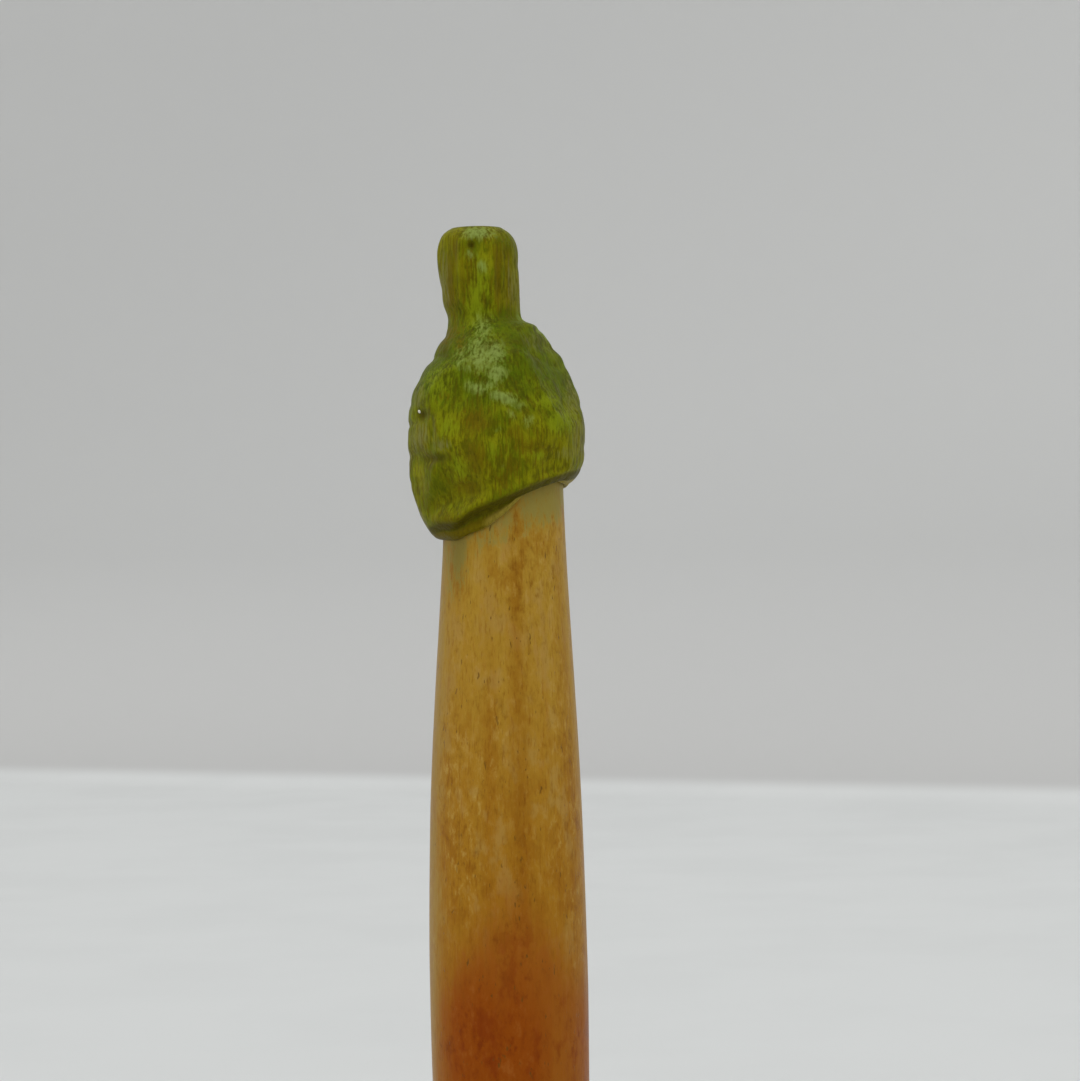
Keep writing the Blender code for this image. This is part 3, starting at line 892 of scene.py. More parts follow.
    def carve(self, mesh: bpy.types.Mesh) -> np.ndarray:
        """Move the blank's points to the carved surface.

        Args:
            mesh: the blank; its points are changed.

        Returns:
            The finished points in millimetres.
        """
        raw = points_of(mesh)
        share = np.hypot(raw[:, 0], raw[:, 1])
        angle = np.arctan2(raw[:, 1], raw[:, 0])
        level = np.clip(raw[:, 2], 0.0, len(self.sections) - 1)
        rows = curve_through(list(self.sections), level)
        middle = (rows[:, [0, 1]] + rows[:, [2, 3]]) / 2
        half = (rows[:, [2, 3]] - rows[:, [0, 1]]) / 2
        depth = np.hypot(half[:, 0], half[:, 1]) * rows[:, 4]
        points = np.empty_like(raw)
        points[:, 0] = middle[:, 0] + half[:, 0] * np.cos(angle) * share
        points[:, 2] = middle[:, 1] + half[:, 1] * np.cos(angle) * share
        points[:, 1] = depth * np.sin(angle) * share
        last = len(self.sections) - 1
        below = eased(level, last - self.skirt_end[0], last - self.skirt_end[1])
        skirt = eased(level, *self.skirt_start) * (1.0 - below)
        points = self.shaved(points, self.flats, skirt)
        stalk = 1.0 - eased(level, *self.stalk_end)
        points = self.shaved(points, self.stalk_flats, stalk)
        out = points - np.stack((middle[:, 0], np.zeros(len(points)), points[:, 2]), axis=1)
        out /= np.maximum(np.linalg.norm(out, axis=1), 1e-6)[:, None]
        sink = sum(cut.weight(points) for cut in self.cuts)
        above = 1.0 - eased(level, last - self.carving_end[0], last - self.carving_end[1])
        sink = sink * above + self.lumps(points) * (0.25 + 0.75 * eased(level, 0.5, 3.0)) * above
        side = np.abs(np.cos(angle)) ** 8
        sink = sink * (1.0 - 0.55 * side) + sum(notch.weight(points) for notch in self.notches) * above
        points = points - out * (sink * (share > 0.99))[:, None]
        points[:, 2] += self.rim_drop(points, level - last)
        points[:, 2] -= 0.10 * (1.0 - share) * (level < 0.5) * (1.0 + np.sin(3.0 * angle))
        mesh.vertices.foreach_set("co", (points * MM).ravel())
        mesh.update()
        return points

    @staticmethod
    def shaved(points: np.ndarray, flats: tuple[KnifeFlat, ...], share: np.ndarray) -> np.ndarray:
        """Cut a row of knife flats into part of the head.

        Args:
            points: points in millimetres.
            flats: the knife strokes.
            share: how far each point follows them, 0 to 1.

        Returns:
            The cut points.
        """
        carved = points
        for flat in flats:
            carved = flat.cut(carved)
        return points + (carved - points) * share[:, None]

    @staticmethod
    def rim_drop(points: np.ndarray, depth: np.ndarray) -> np.ndarray:
        """How far the rim's wavy edge leaves its even slant, in millimetres upwards.

        Args:
            points: points in millimetres.
            depth: section number, counted back from the last.

        Returns:
            One height for each point.
        """
        x, y = points[:, 0], points[:, 1]
        front = eased(-y, -1.0, 1.5)
        back = 1.0 - front
        ridge = eased(depth, -8.0, -5.8)
        lip = eased(depth, -4.4, -2.6)

        rise = front * ridge * (0.14 * around(x, 3.0, 2.0) - 0.42 * around(x, -3.7, 0.95))
        lifted = 0.80 * eased(x, 0.0, 2.2) * (1.0 - eased(x, 3.8, 5.4))
        rise += front * lip * (lifted - 0.60 * around(x, -1.7, 1.7))
        rise += back * ridge * (0.25 * around(x, -2.5, 1.6) - 0.20 * around(x, 2.6, 1.2))
        return rise + back * lip * 0.30 * around(x, 0.5, 2.0)

    @staticmethod
    def lumps(points: np.ndarray) -> np.ndarray:
        """Small unevenness left by the knife, in millimetres inwards.

        Args:
            points: points in millimetres.

        Returns:
            One depth for each point.
        """
        depths = np.empty(len(points))
        for index, (x, y, z) in enumerate(points):
            wide = noise.noise(Vector((x * 0.55, y * 0.55, z * 0.40)))
            small = noise.noise(Vector((x * 1.5 + 9.0, y * 1.5, z * 0.9)))
            streak = noise.noise(Vector((x * 3.2, y * 3.2 + 4.0, z * 0.45)))
            depths[index] = 0.10 * wide + 0.055 * small + 0.030 * streak
        return depths + 0.02


@dataclass
class HeadPaint:
    """Where the head's colours lie, by kind."""

    seed: int = 11
    spots: tuple[tuple[Stain, tuple[Touch, ...]], ...] = (
        (Stain.MINT, (
            Touch(-1.75, 149.35, 1.25, 0.55, 1.0),
            Touch(-2.35, 147.55, 0.45, 0.50, 0.55),
            Touch(-1.50, 146.60, 0.50, 0.60, 0.45),
            Touch(-1.40, 141.90, 0.80, 1.20, 0.50),
            Touch(-1.50, 139.60, 1.50, 1.70, 0.72),
            Touch(-0.50, 139.80, 0.75, 0.95, 0.95),
            Touch(-0.40, 138.10, 0.90, 0.80, 0.80),
            Touch(-3.10, 139.40, 0.75, 1.20, 0.45),
            Touch(-1.90, 136.90, 1.00, 0.55, 0.72, -0.25),
            Touch(0.20, 136.15, 1.25, 0.50, 0.85, -0.25),
            Touch(-0.90, 137.30, 1.20, 0.60, 0.50),
            Touch(1.40, 135.50, 0.60, 0.45, 0.50),
            Touch(2.05, 134.30, 0.50, 0.60, 0.50),
            Touch(0.80, 134.80, 0.45, 0.50, 0.35),
            Touch(-0.40, 133.70, 0.50, 0.30, 0.35),
            Touch(0.00, 130.95, 0.30, 0.45, 0.35),
            Touch(-4.80, 138.10, 0.50, 0.50, 0.35),
        )),
        (Stain.LIME, (
            Touch(-4.85, 137.50, 0.90, 1.20, 1.0),
            Touch(-4.20, 138.50, 0.80, 0.70, 0.60),
            Touch(4.70, 134.30, 1.20, 0.90, 0.95),
            Touch(3.60, 136.00, 1.20, 0.80, 0.55),
            Touch(-4.30, 133.90, 1.00, 0.90, 0.60),
            Touch(-1.75, 144.60, 0.90, 2.60, 0.80),
            Touch(-3.30, 130.60, 0.90, 1.20, 0.45),
            Touch(-0.90, 131.80, 0.60, 1.00, 0.45),
            Touch(-2.20, 142.30, 0.70, 0.70, 0.55),
            Touch(0.30, 132.60, 0.60, 0.90, 0.40),
            Touch(2.60, 131.60, 1.00, 0.60, 0.45),
            Touch(-4.30, 127.80, 1.00, 0.50, 0.45),
        )),
        (Stain.LEAF, (
            Touch(2.30, 138.60, 2.60, 1.50, 0.48),
            Touch(-4.60, 139.60, 1.20, 1.20, 0.45),
            Touch(-0.60, 138.90, 2.60, 2.00, 0.30),
            Touch(1.10, 141.00, 1.80, 1.10, 0.50),
            Touch(4.20, 136.60, 1.60, 1.30, 0.42),
            Touch(1.90, 136.80, 1.20, 0.50, 0.50),
            Touch(-4.90, 129.40, 1.30, 1.40, 0.66),
            Touch(-3.90, 141.00, 0.60, 1.00, 0.60),
            Touch(-2.90, 138.40, 0.60, 0.60, 0.45),
            Touch(0.50, 142.60, 0.90, 0.90, 0.75),
            Touch(-5.60, 139.00, 0.60, 0.60, 0.50),
            Touch(-2.20, 148.30, 0.70, 0.80, 0.60),
            Touch(-0.20, 148.60, 0.50, 0.70, 0.45),
        )),
        (Stain.BROWN, (
            Touch(-2.06, 134.40, 1.10, 1.20, 0.90),
            Touch(-2.00, 131.40, 0.90, 1.40, 0.85),
            Touch(0.97, 133.00, 0.90, 1.20, 0.50),
            Touch(2.40, 132.30, 2.20, 0.60, 0.60),
            Touch(-2.70, 129.30, 1.20, 0.70, 0.80),
            Touch(0.90, 130.60, 0.80, 0.80, 0.45),
            Touch(-3.57, 148.00, 0.28, 1.40, 0.85),
            Touch(-0.20, 146.00, 0.30, 2.80, 1.10),
            Touch(-4.00, 145.60, 0.50, 3.00, 0.95),
            Touch(0.65, 145.20, 0.40, 2.60, 0.70),
            Touch(-3.00, 145.40, 0.25, 2.40, 0.60),
            Touch(0.45, 147.20, 0.80, 1.50, 0.50),
            Touch(-3.70, 142.80, 0.28, 1.30, 0.65),
            Touch(-3.20, 140.60, 0.50, 0.80, 0.65),
            Touch(-4.40, 136.40, 0.50, 0.40, 0.45),
            Touch(-4.60, 146.50, 0.80, 2.60, 0.35),
            Touch(-4.30, 126.60, 1.60, 0.70, 0.50),
        )),
        # Dark spots: some are dark stain; those on the cuts at the stalk top, the left pit and the two low front
        # grooves are painted shade.
        (Stain.DARK_AND_SHADE, (
            Touch(-4.40, 140.10, 0.45, 1.00, 0.55),
            Touch(1.40, 140.60, 1.50, 0.70, 0.40),
            Touch(-5.05, 131.55, 1.10, 0.42, 0.72),
            Touch(-6.25, 135.05, 0.42, 0.42, 0.95),
            Touch(-4.70, 129.20, 1.40, 1.10, 0.32),
            Touch(-0.97, 129.60, 0.50, 0.30, 0.45),
            Touch(-2.29, 148.40, 0.34, 0.38, 0.90),
            Touch(1.30, 135.30, 0.30, 0.25, 0.45),
            Touch(-5.90, 128.10, 1.20, 1.20, 0.36),
            Touch(0.60, 148.70, 0.90, 0.80, 0.32),
        )),
        (Stain.BARE, ()),
        # Grey spots: those on the head's and stalk's left and right edges are painted sheen; the others are grey
        # stain.
        (Stain.GREY_AND_SHEEN, (
            Touch(-6.45, 133.20, 0.85, 1.20, 0.75),
            Touch(-6.60, 136.60, 0.60, 1.20, 0.50),
            Touch(5.60, 137.20, 0.60, 2.40, 0.65),
            Touch(2.60, 140.80, 0.80, 0.60, 0.45),
            Touch(5.90, 133.20, 0.50, 2.00, 0.45),
            Touch(-4.60, 145.60, 0.60, 2.60, 0.60),
            Touch(1.10, 145.20, 0.60, 2.40, 0.60),
            Touch(-4.70, 132.60, 0.70, 0.60, 0.55),
            Touch(5.00, 131.80, 1.00, 0.60, 0.45),
        )),
    )

    def more(self) -> dict[Stain, list[Touch]]:
        """The spots of every kind, with scattered ones for the sides and back.

        Returns:
            The spots by kind.
        """
        spots = {stain: list(touches) for stain, touches in self.spots}
        dice = random.Random(self.seed)
        counts = {Stain.MINT: 12, Stain.LIME: 14, Stain.LEAF: 14, Stain.BROWN: 16, Stain.DARK_AND_SHADE: 7, Stain.GREY_AND_SHEEN: 5}
        for stain, count in counts.items():
            for _ in range(count):
                spots[stain].append(Touch(
                    across=dice.uniform(-2.5, 2.5),
                    height=dice.uniform(128.5, 141.5),
                    width=dice.uniform(0.4, 1.3),
                    tall=dice.uniform(0.5, 1.9),
                    amount=dice.uniform(0.4, 0.9),
                    slant=dice.uniform(-0.3, 0.3),
                    azimuth=dice.uniform(78.0, 282.0),
                ))
        return spots

    def lay(self, mesh: bpy.types.Mesh, points: np.ndarray, groove_shade: np.ndarray, lip: np.ndarray) -> None:
        """Store one attribute for each kind of stain.

        Args:
            mesh: the head's mesh.
            points: its points in millimetres.
            groove_shade: painted shade in the groove over the lip at each point, reaching onto the lip's left end.
            lip: 1 on the thin lip under that groove, 0 above it.
        """
        height = points[:, 2]
        painted(mesh, "fresh", eased(height, 133.0, 137.5) * (1.0 - eased(height, 142.0, 144.5)))
        for stain, touches in self.more().items():
            amount = np.zeros(len(points))
            for touch in touches:
                amount = np.maximum(amount, touch.weight(points))
            # Painted shade in the groove joins the dark stain.
            if stain is Stain.DARK_AND_SHADE:
                amount = np.maximum(amount, groove_shade)
            if stain is Stain.BARE:
                amount = lip * eased(points[:, 0], -2.4, 0.4) * 1.4
            if stain is Stain.BROWN:
                amount = np.maximum(amount, 1.3 * lip * (1.0 - eased(points[:, 0], -1.4, 0.6)))
            painted(mesh, stain.value, amount)


def build_head() -> None:
    """Carve and stain the head."""
    head = CarvedHead()
    bm = head.blank()
    piece = finished("head_carving", bm, GreenStain().material())
    raw = points_of(piece.data)
    level = raw[:, 2].copy()
    points = head.carve(piece.data)
    faced_outward(piece.data)
    last = len(head.sections) - 1
    # Painted shade: dark in the groove under the ridge, reaching onto the lip's left end.
    groove_shade = np.exp(-(((level - (last - 4.7)) / 1.1) ** 2)) * 1.4
    lip = eased(level, last - 4.0, last - 3.0)
    groove_shade = np.maximum(groove_shade, 0.40 * lip * (1.0 - eased(points[:, 0], -3.8, -1.6)))
    HeadPaint().lay(piece.data, points, groove_shade, lip)
    fitted(piece, Body.FLOAT, "head_wood", "carved_head")


# ------------------------------------------------------------------------ body


@dataclass
class TurnedBody:
    """The turned and stained wooden body. Sizes in millimetres."""

    outline: tuple[tuple[float, float], ...] = (
        (42.05, 2.95),
        (44.9, 3.0),
        (45.4, 3.62),
        (49.0, 4.05),
        (55.0, 4.80),
        (62.0, 5.45),
        (70.0, 5.95),
        (82.3, 6.28),
        (91.5, 6.32),
        (100.6, 6.16),
        (107.3, 5.92),
        (113.0, 5.60),
        (118.8, 5.24),
        (124.6, 4.92),
        (131.0, 4.72),
    )
    rings_between: int = 16
    steps: int = 192
    bore: float = 2.1
    bow: float = -0.10
    bow_span: tuple[float, float] = (82.0, 42.0)

    def build(self) -> bpy.types.Object:
        """Turn the body, make it slightly uneven as sanding leaves it, and lay its stain.

        Returns:
            The body.
        """
        last = len(self.outline) - 1
        where = np.linspace(0.0, last, last * self.rings_between + 1)
        rows = curve_through(list(self.outline), where)
        profile = [(self.bore, rows[-1, 0]), (self.bore, rows[0, 0])]
        profile += [(max(radius, self.bore + 0.1), height) for height, radius in rows[:, :2]]
        bm = turned_blank("body", [(r * MM, z * MM) for r, z in profile], self.steps)
        piece = finished("body_turning", bm, HoneyStain().material())
        points = points_of(piece.data) / MM
        self.shape_by_hand(piece.data, points)
        self.lay_stain(piece.data, points)
        return fitted(piece, Body.FLOAT, "body_wood", "float_body")

    def shape_by_hand(self, mesh: bpy.types.Mesh, points: np.ndarray) -> None:
        """Make the round slightly uneven, as sanding leaves it.

        Args:
            mesh: the body's mesh; its points are changed.
            points: its points in millimetres.
        """
        radius = np.hypot(points[:, 0], points[:, 1])
        outer = eased(radius, 2.4, 3.4)
        moved = points.copy()
        for index, (x, y, z) in enumerate(points):
            uneven = noise.noise(Vector((x * 0.25, y * 0.25, z * 0.06))) * 0.05
            uneven += noise.noise(Vector((x * 1.1, y * 1.1, z * 0.10))) * 0.018
            moved[index, :2] *= 1.0 - abs(uneven) * outer[index] / max(radius[index], 1.0)
        low, length = self.bow_span
        moved[:, 0] += self.bow * np.sin(np.clip((points[:, 2] - low) / length, 0.0, 1.0) * math.pi) * outer
        mesh.vertices.foreach_set("co", (moved * MM).ravel())
        mesh.update()

    @staticmethod
    def lay_stain(mesh: bpy.types.Mesh, points: np.ndarray) -> None:
        """Store where the stain is rust red, where green has run and where the head shades it.

        Args:
            mesh: the body's mesh.
            points: its points in millimetres.
        """
        x, y, z = points.T
        angle = np.arctan2(x, -y)
        deep = np.exp(-(((angle + 0.20) / 0.72) ** 4))
        behind = around(np.abs(angle), 2.4, 0.6)
        deep = np.maximum(deep, 0.9 * behind)
        start = 95.5 + 7.0 * np.maximum(around(angle, 0.05, 0.75), 0.85 * behind)
        left = around(angle, -1.35, 0.42)
        ember = 1.0 - eased(z, start - 13.0, start)
        painted(mesh, "ember", ember * (1.0 - 0.70 * left * eased(z, 74.0, 84.0)))
        painted(mesh, "rust", (1.0 - eased(z, 84.5, 96.5)) * np.maximum(deep, 1.0 - eased(z, 62.0, 83.0)))
        bands = 0.75 * around(angle, 0.20, 0.13) + 0.25 * around(angle, -0.85, 0.2)
        bands += 0.35 * around(angle, 1.02, 0.12) + 0.3 * around(angle, -0.22, 0.12)
        painted(mesh, "tone", bands * eased(z, 88.0, 96.0) * (1.0 - eased(z, 122.0, 128.0)))
        painted(mesh, "warm", 0.15 + 0.75 * (1.0 - eased(z, 94.0, 124.0)))
        painted(mesh, "strip", 0.8 * left + 0.35 * around(angle, 1.45, 0.3))
        rim = 127.2 + 0.415 * x
        under = rim - z
        bleed = (1.0 - eased(under, 0.6, 3.6)) * (0.55 + 0.5 * eased(x, 0.5, 3.5))
        run = around(x, -3.7, 0.9) * (y < 0) * (1.0 - eased(under, 1.0, 7.0))
        painted(mesh, "bleed", np.maximum(bleed, run))
        # Painted shade on the wood just under the head's rim, plus a darker tone along the green run.
        shade = (1.0 - eased(under, -0.3, 0.7)) * (0.75 - 0.6 * eased(x, -2.0, 0.5))
        painted(mesh, "shade", np.maximum(shade, 0.42 * run))


# --------------------------------------------------------------- small fittings


@dataclass
class StemRod:
    """The cane rod, with a shallow groove at each joint. Sizes in millimetres."""

    radius: float = 1.98
    bottom: float = 1.95
    top: float = 138.0
    knots: tuple[float, ...] = (28.2,)
    steps: int = 96
    ring_gap: float = 0.4

    def build(self) -> bpy.types.Object:
        """Turn the rod.

        Returns:
            The rod.
        """
        rings = int((self.top - self.bottom) / self.ring_gap) + 1
        levels = [self.bottom + self.ring_gap * ring for ring in range(rings)]
        profile = [(0.0, self.bottom), (self.radius - 0.2, self.bottom)]
        for level in levels[1:]:
            groove = sum(math.exp(-(((level - knot) / 0.25) ** 2)) for knot in self.knots)
            profile.append((self.radius - 0.10 * groove, level))
        profile += [(self.radius - 0.2, self.top + 0.2), (0.0, self.top + 0.2)]
        bm = turned_blank("stem", [(r * MM, z * MM) for r, z in profile], self.steps)
        piece = finished("stem_rod", bm, CaneFinish().material())
        return fitted(piece, Body.FLOAT, "cane", "centre_stem")


@dataclass
class TurnedFitting:
    """A small turned fitting on the stem, from a closed profile with rounded corners."""

    name: str
    node: str
    body: Body
    slot: str
    profile: list[tuple[float, float, float]]
    steps: int = 128

    def build(self, material: bpy.types.Material) -> bpy.types.Object:
        """Turn the fitting.

        Args:
            material: its finish.

        Returns:
            The fitting.
        """
        outline = [(r * MM, z * MM) for r, z in rounded(self.profile)]
        bm = turned_blank(self.name, outline, self.steps)
        return fitted(finished(self.name, bm, material), self.body, self.slot, self.node)


@dataclass
class Whipping:
    """A band of wound thread: one ridge for each turn. Sizes in millimetres."""

    name: str
    node: str
    bottom: float
    length: float = 3.0
    turns: int = 8
    inner: float = 2.02
    steps: int = 72

    def build(self, material: bpy.types.Material) -> bpy.types.Object:
        """Spin the ridged band along a slow helix.

        Args:
            material: its finish.

        Returns:
            The band.
        """
        pitch = self.length / (self.turns + 1)
        thread = pitch * 0.56
        bm = bmesh.new()
        made = bmesh.ops.create_circle(
            bm, cap_ends=True, segments=12, radius=thread * MM,
            matrix=Matrix.Translation(((self.inner + thread) * MM, 0.0, (self.bottom + pitch / 2) * MM))
            @ Matrix.Rotation(math.pi / 2, 4, "X"),
        )
        section = list({*made["verts"], *(e for v in made["verts"] for e in v.link_edges),
                        *(f for v in made["verts"] for f in v.link_faces)})
        climb = (self.length - pitch) * MM / (self.turns * self.steps)
        bmesh.ops.spin(bm, geom=section, cent=(0.0, 0.0, 0.0), axis=(0.0, 0.0, 1.0),
                       dvec=(0.0, 0.0, climb), angle=math.tau * self.turns, steps=self.turns * self.steps)
        bmesh.ops.remove_doubles(bm, verts=bm.verts, dist=1e-7)
        bmesh.ops.recalc_face_normals(bm, faces=bm.faces)
        return fitted(finished(self.name, bm, material), Body.FLOAT, "thread", self.node)


@dataclass
class Eye:
    """The eye band with its side loop, and the ring that hangs in it. Sizes in millimetres."""

    band_bottom: float = 18.8
    band_length: float = 3.0
    band_radius: float = 3.0
    inner: float = 2.02
    loop_x: float = 4.5
    loop_radius: float = 1.5
    ring_radius: float = 2.2
    wire: float = 0.4
    ring_centre: float = 17.7

    def hoop(self, bm: bmesh.types.BMesh, radius: float, place: Matrix) -> list[bmesh.types.BMVert]:
        """Spin one closed hoop of wire.

        Args:
            bm: the mesh that it is added to.
            radius: from the hoop's centre to the wire's.
            place: where the hoop goes; its own axis is +Z.

        Returns:
            The hoop's points.
        """
        old = set(bm.verts)
        made = bmesh.ops.create_circle(
            bm, cap_ends=False, segments=20, radius=self.wire * MM,
            matrix=Matrix.Translation((radius * MM, 0.0, 0.0)) @ Matrix.Rotation(math.pi / 2, 4, "X"),
        )
        edges = list({edge for vert in made["verts"] for edge in vert.link_edges})
        bmesh.ops.spin(bm, geom=made["verts"] + edges, cent=(0.0, 0.0, 0.0), axis=(0.0, 0.0, 1.0),
                       angle=math.tau, steps=72, use_merge=True)
        fresh = [vert for vert in bm.verts if vert not in old]
        bmesh.ops.remove_doubles(bm, verts=fresh, dist=1e-7)
        fresh = [vert for vert in bm.verts if vert not in old]
        bmesh.ops.transform(bm, matrix=place, verts=fresh)
        return fresh

    def build(self, material: bpy.types.Material, ring_material: bpy.types.Material) -> None:
        """Make the band with its loop, and the ring.

        Args:
            material: finish of the band.
            ring_material: finish of the ring.
        """
        low, high = self.band_bottom, self.band_bottom + self.band_length
        middle = (low + high) / 2
        profile = rounded([
            (self.inner, low, 0.05), (self.band_radius - 0.15, low, 0.1), (self.band_radius, low + 0.25, 0.15),
            (self.band_radius - 0.12, middle - 0.5, 0.3), (self.band_radius - 0.12, middle + 0.5, 0.3),
            (self.band_radius, high - 0.25, 0.15), (self.band_radius - 0.15, high, 0.1), (self.inner, high, 0.05),
        ])
        bm = turned_blank("eye band", [(r * MM, z * MM) for r, z in profile], 128)
        centre = Matrix.Translation(Vector((self.loop_x, 0.0, middle)) * MM)
        self.hoop(bm, self.loop_radius, centre @ Matrix.Rotation(math.pi / 2, 4, "X"))
        bmesh.ops.recalc_face_normals(bm, faces=bm.faces)
        fitted(finished("eye_band_brass", bm, material), Body.FLOAT, "brass", "eye_band")
        bm = bmesh.new()
        centre = Matrix.Translation(Vector((self.loop_x, 0.0, self.ring_centre)) * MM)
        self.hoop(bm, self.ring_radius, centre @ Matrix.Rotation(math.pi / 2, 4, "Y"))
        bmesh.ops.recalc_face_normals(bm, faces=bm.faces)
        fitted(finished("line_ring_wire", bm, ring_material), Body.LINE_RING, "brass", "line_ring")


@dataclass
class BrassPin:
    """A small pin with domed ends. Sizes in millimetres."""

    name: str
    node: str
    start: tuple[float, float, float]
    end: tuple[float, float, float]
    radius: float
    head: float = 0.0

    def build(self, material: bpy.types.Material) -> bpy.types.Object:
        """Turn the pin and lay it between its ends.

        Args:
            material: its finish.

        Returns:
            The pin.
        """
        start, end = Vector(self.start), Vector(self.end)
        length = (end - start).length
        radius = self.radius
        cap = self.head or radius
        profile = [(0.0, 0.0), (cap * 0.55, 0.03), (cap * 0.9, 0.10), (cap, 0.18)]
        profile += [(cap, 0.28), (radius, 0.34)] if self.head else []
        profile += [(radius, length - 0.2), (radius * 0.85, length - 0.08)]
        profile += [(radius * 0.5, length - 0.02), (0.0, length)]
        bm = turned_blank(self.name, [(r * MM, z * MM) for r, z in profile], 48)
        turn = (end - start).to_track_quat("Z", "Y").to_matrix().to_4x4()
        bmesh.ops.transform(bm, matrix=Matrix.Translation(start * MM) @ turn, verts=bm.verts)
        return fitted(finished(self.name, bm, material), Body.FLOAT, "brass", self.node)


# ----------------------------------------------------------------------- stage


@dataclass
class Stage:
    """Pale table with a plain wall behind it, as one sweep. Sizes in metres."""

    back_edge: float = 1.164
    turn: float = math.radians(-19.8)
    half_width: float = 3.0
    front: float = -1.6
    wall_height: float = 2.4
    fillet: float = 0.12

    def build(self) -> bpy.types.Object:
        """Extrude the sweep and lay its attributes.

        Returns:
            The sweep.
        """
        edge = self.back_edge * math.cos(self.turn)
        profile = [(self.front, 0.0)]
        start = edge - 0.034
        profile += [(0.1 * step, 0.0) for step in range(-4, 10)]
        for step in range(61):
            angle = math.pi / 2 * step / 60
            profile.append((start + self.fillet * math.sin(angle), self.fillet * (1 - math.cos(angle))))
        wall = start + self.fillet
        profile += [(wall, 0.2 + 0.1 * step) for step in range(10)] + [(wall, self.wall_height)]
        bm = bmesh.new()
        points = [bm.verts.new((-self.half_width, y, z)) for y, z in profile]
        edges = [bm.edges.new(pair) for pair in zip(points, points[1:])]
        made = bmesh.ops.extrude_edge_only(bm, edges=edges)
        moved = [item for item in made["geom"] if isinstance(item, bmesh.types.BMVert)]
        bmesh.ops.translate(bm, vec=(2 * self.half_width, 0.0, 0.0), verts=moved)
        across = [edge for edge in bm.edges if abs(edge.verts[0].co.x - edge.verts[1].co.x) > 1.0]
        bmesh.ops.subdivide_edges(bm, edges=across, cuts=24, use_grid_fill=True)
        bmesh.ops.rotate(bm, cent=(0.0, 0.0, 0.0), matrix=Matrix.Rotation(self.turn, 3, "Z"), verts=bm.verts)
        bmesh.ops.recalc_face_normals(bm, faces=bm.faces)
        floor = finished("stage_sweep", bm, StageFinish().material())
        place = points_of(floor.data)
        back = -place[:, 0] * math.sin(self.turn) + place[:, 1] * math.cos(self.turn)
        painted(floor.data, "rise", eased(place[:, 2], 0.0022, 0.0078))
        # The next three attributes are painted shade: the wall darker near the floor, more so to the right; the
        # table darker toward the front; the wall darker toward its top left.
        painted(floor.data, "low", 1.0 - eased(place[:, 2] - 0.12 * place[:, 0], 0.02, 0.22))
        painted(floor.data, "front_shade", 1.0 - eased(back, -0.2, 1.0))
        painted(floor.data, "high", eased(place[:, 2] - 0.6 * place[:, 0], -0.1, 0.6))
        return floor


@dataclass
class Studio:
    """Soft light: a pale surround that is dimmer in front, and a wide overhead panel."""

    surround: float = 0.90
    front: float = 0.78
    panel_power: float = 2.0

    def build(self) -> None:
        """Make the world and the panel."""
        world = bpy.data.worlds.new("studio")
        bpy.context.scene.world = world
        world.use_nodes = True
        tree = world.node_tree
        way = tree.nodes.new("ShaderNodeTexCoord")
        parts = tree.nodes.new("ShaderNodeSeparateXYZ")
        step = tree.nodes.new("ShaderNodeMapRange")
        step.interpolation_type = "SMOOTHSTEP"
        limits = {"From Min": -0.95, "From Max": -0.35, "To Min": self.front, "To Max": self.surround}
        for name, number in limits.items():
            step.inputs[name].default_value = number
        tree.links.new(way.outputs["Generated"], parts.inputs[0])
        tree.links.new(parts.outputs["Y"], step.inputs["Value"])
        background = tree.nodes["Background"]
        background.inputs["Color"].default_value = (1.0, 1.0, 0.99, 1.0)
        tree.links.new(step.outputs["Result"], background.inputs["Strength"])
        light = bpy.data.lights.new("overhead_panel", "AREA")
        light.shape = "RECTANGLE"
        light.size = 0.9
        light.size_y = 0.7
        light.energy = self.panel_power
        lamp = bpy.data.objects.new("overhead_panel", light)
        lamp.location = (-0.1, -0.25, 0.95)
        lamp.rotation_euler = (math.radians(-16.0), 0.0, 0.0)
        bpy.context.scene.collection.objects.link(lamp)


@dataclass
class View:
    """The camera: level, close to the head, rolled a little. Sizes in metres and degrees."""

    distance: float = 0.220
    height: float = 0.1250
    aside: float = 0.00286
    lens: float = 91.67
    roll: float = 0.716

    def build(self) -> None:
        """Make the camera and set the colour view."""
        camera = bpy.data.cameras.new("view")
        camera.sensor_width = 36.0
        camera.lens = self.lens
        camera.clip_start = 0.01
        camera.clip_end = 20.0
        eye = bpy.data.objects.new("view", camera)
        eye.location = (self.aside, -self.distance, self.height)
        eye.rotation_euler = (Matrix.Rotation(math.radians(90.0), 3, "X")
                              @ Matrix.Rotation(math.radians(-self.roll), 3, "Z")).to_euler()
        bpy.context.scene.collection.objects.link(eye)
        bpy.context.scene.camera = eye
        bpy.context.scene.view_settings.view_transform = "Standard"


# ------------------------------------------------------------------------ main


def band(inner: float, outer: float, low: float, high: float, edge: float) -> list[tuple[float, float, float]]:
    """A plain tube's profile.

    Args:
        inner: bore radius.
        outer: outer radius.
        low: lower end.
        high: upper end.
        edge: radius of the outer edges.

    Returns:
        (radius, height, corner radius) triples.
    """
    return [(inner, low, 0.08), (outer, low, edge), (outer, high, edge), (inner, high, 0.08)]


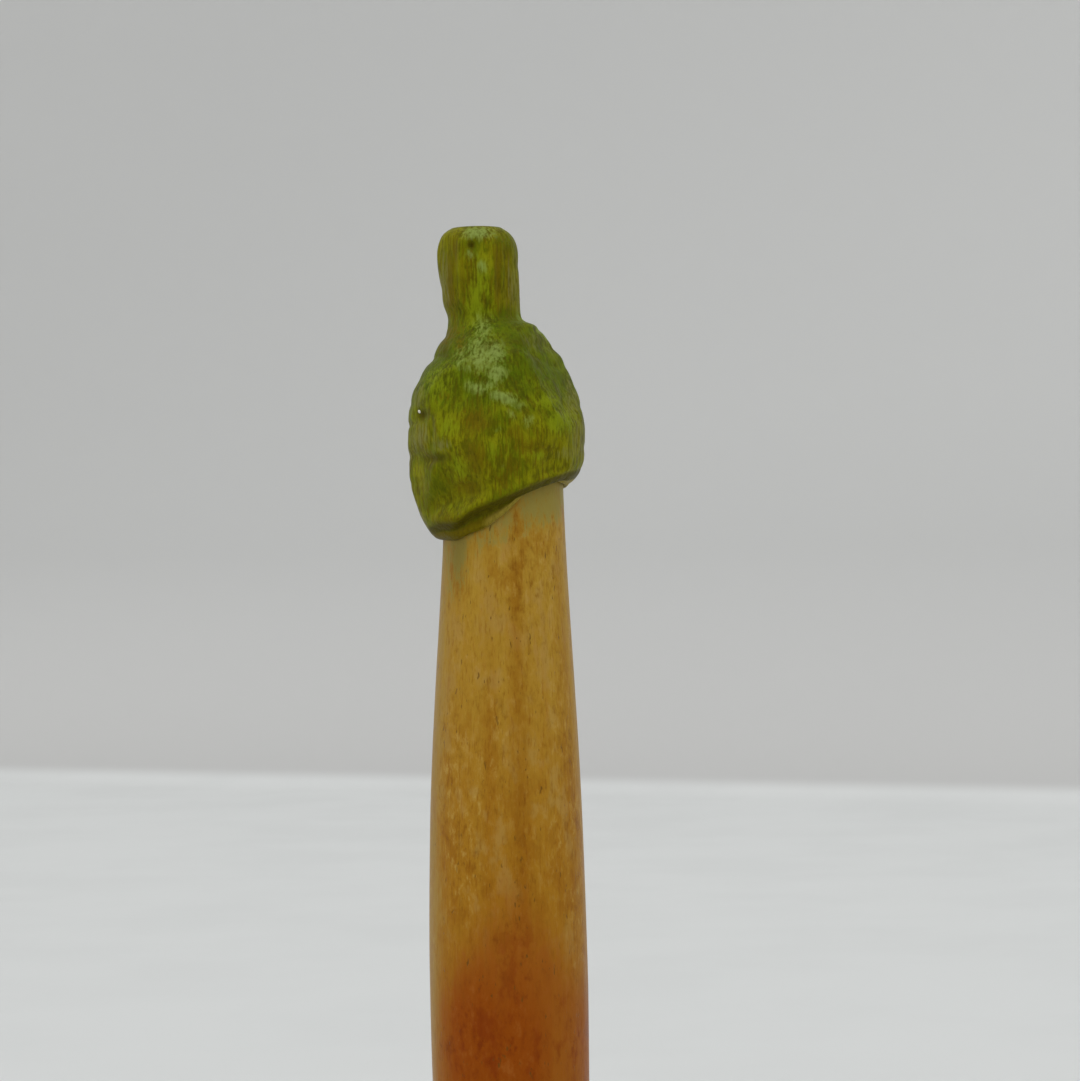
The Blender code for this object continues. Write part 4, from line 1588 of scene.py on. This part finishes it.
def build_fittings() -> None:
    """Make everything below the body."""
    brass = BrassFinish().material()
    ring_brass = BrassFinish("bright_brass", (0.80, 0.60, 0.27), (0.50, 0.35, 0.15), 4000.0, 0.2).material()
    rubber = RubberFinish().material()
    thread = ThreadFinish().material()
    lead = LeadFinish().material()
    steel = BrassFinish("grey_steel", (0.78, 0.76, 0.68), (0.50, 0.47, 0.38), 4000.0, 0.35).material()
    ferrule = [
        (2.02, 38.0, 0.05), (3.28, 38.0, 0.25), (3.34, 39.0, 0.1), (3.22, 39.25, 0.1), (3.24, 39.45, 0.1),
        (3.38, 39.7, 0.1), (3.52, 43.9, 0.2), (3.44, 44.1, 0.1), (3.60, 44.4, 0.15), (3.60, 45.0, 0.2),
        (3.15, 45.0, 0.05), (3.10, 41.8, 0.0), (2.02, 41.8, 0.0),
    ]
    TurnedFitting("ferrule_cup", "body_ferrule", Body.FLOAT, "brass", ferrule).build(brass)
    TurnedFitting("ballast_lead", "ballast_ring", Body.FLOAT, "lead", band(2.3, 2.7, 39.1, 41.7, 0.1)).build(lead)
    TurnedFitting("sleeve_upper_rubber", "sleeve_upper", Body.SLEEVE_UPPER, "red_rubber",
                  band(2.04, 3.1, 32.0, 37.0, 0.35)).build(rubber)
    TurnedFitting("sleeve_lower_rubber", "sleeve_lower", Body.SLEEVE_LOWER, "red_rubber",
                  band(2.04, 3.1, 8.5, 12.5, 0.35)).build(rubber)
    Whipping("thread_upper", "whipping_upper", 22.4).build(thread)
    Whipping("thread_lower", "whipping_lower", 15.2).build(thread)
    Eye().build(brass, ring_brass)
    keel = [
        (0.0, 0.0, 0.0), (7.0, 0.0, 0.35), (7.0, 1.4, 0.35), (5.75, 1.45, 0.15), (5.45, 1.62, 0.15),
        (4.35, 2.15, 0.8), (3.45, 3.4, 0.8), (3.05, 4.4, 0.6), (3.0, 6.9, 0.1), (2.88, 7.05, 0.1),
        (2.88, 7.2, 0.1), (3.0, 7.35, 0.1), (3.0, 8.0, 0.25), (2.02, 8.0, 0.08), (2.02, 1.7, 0.0), (0.0, 1.7, 0.0),
    ]
    TurnedFitting("keel_foot", "keel_weight", Body.FLOAT, "brass", keel).build(brass)
    BrassPin("keel_cross_pin", "keel_pin", (-3.25, 0.0, 5.6), (3.25, 0.0, 5.6), 0.4).build(ring_brass)
    turn, height = math.radians(205.5), 135.3
    outer, inner = ((math.cos(turn) * reach, math.sin(turn) * reach, height) for reach in (7.33, 1.0))
    BrassPin("head_brad", "head_pin", outer, inner, 0.13, 0.18).build(steel)


def main() -> None:
    """Build the stage, the light, the camera and every piece of the float."""
    logging.basicConfig(level=logging.INFO, format="%(name)s: %(message)s")
    Stage().build()
    Studio().build()
    View().build()
    build_head()
    TurnedBody().build()
    StemRod().build()
    build_fittings()


if __name__ == "__main__":
    main()
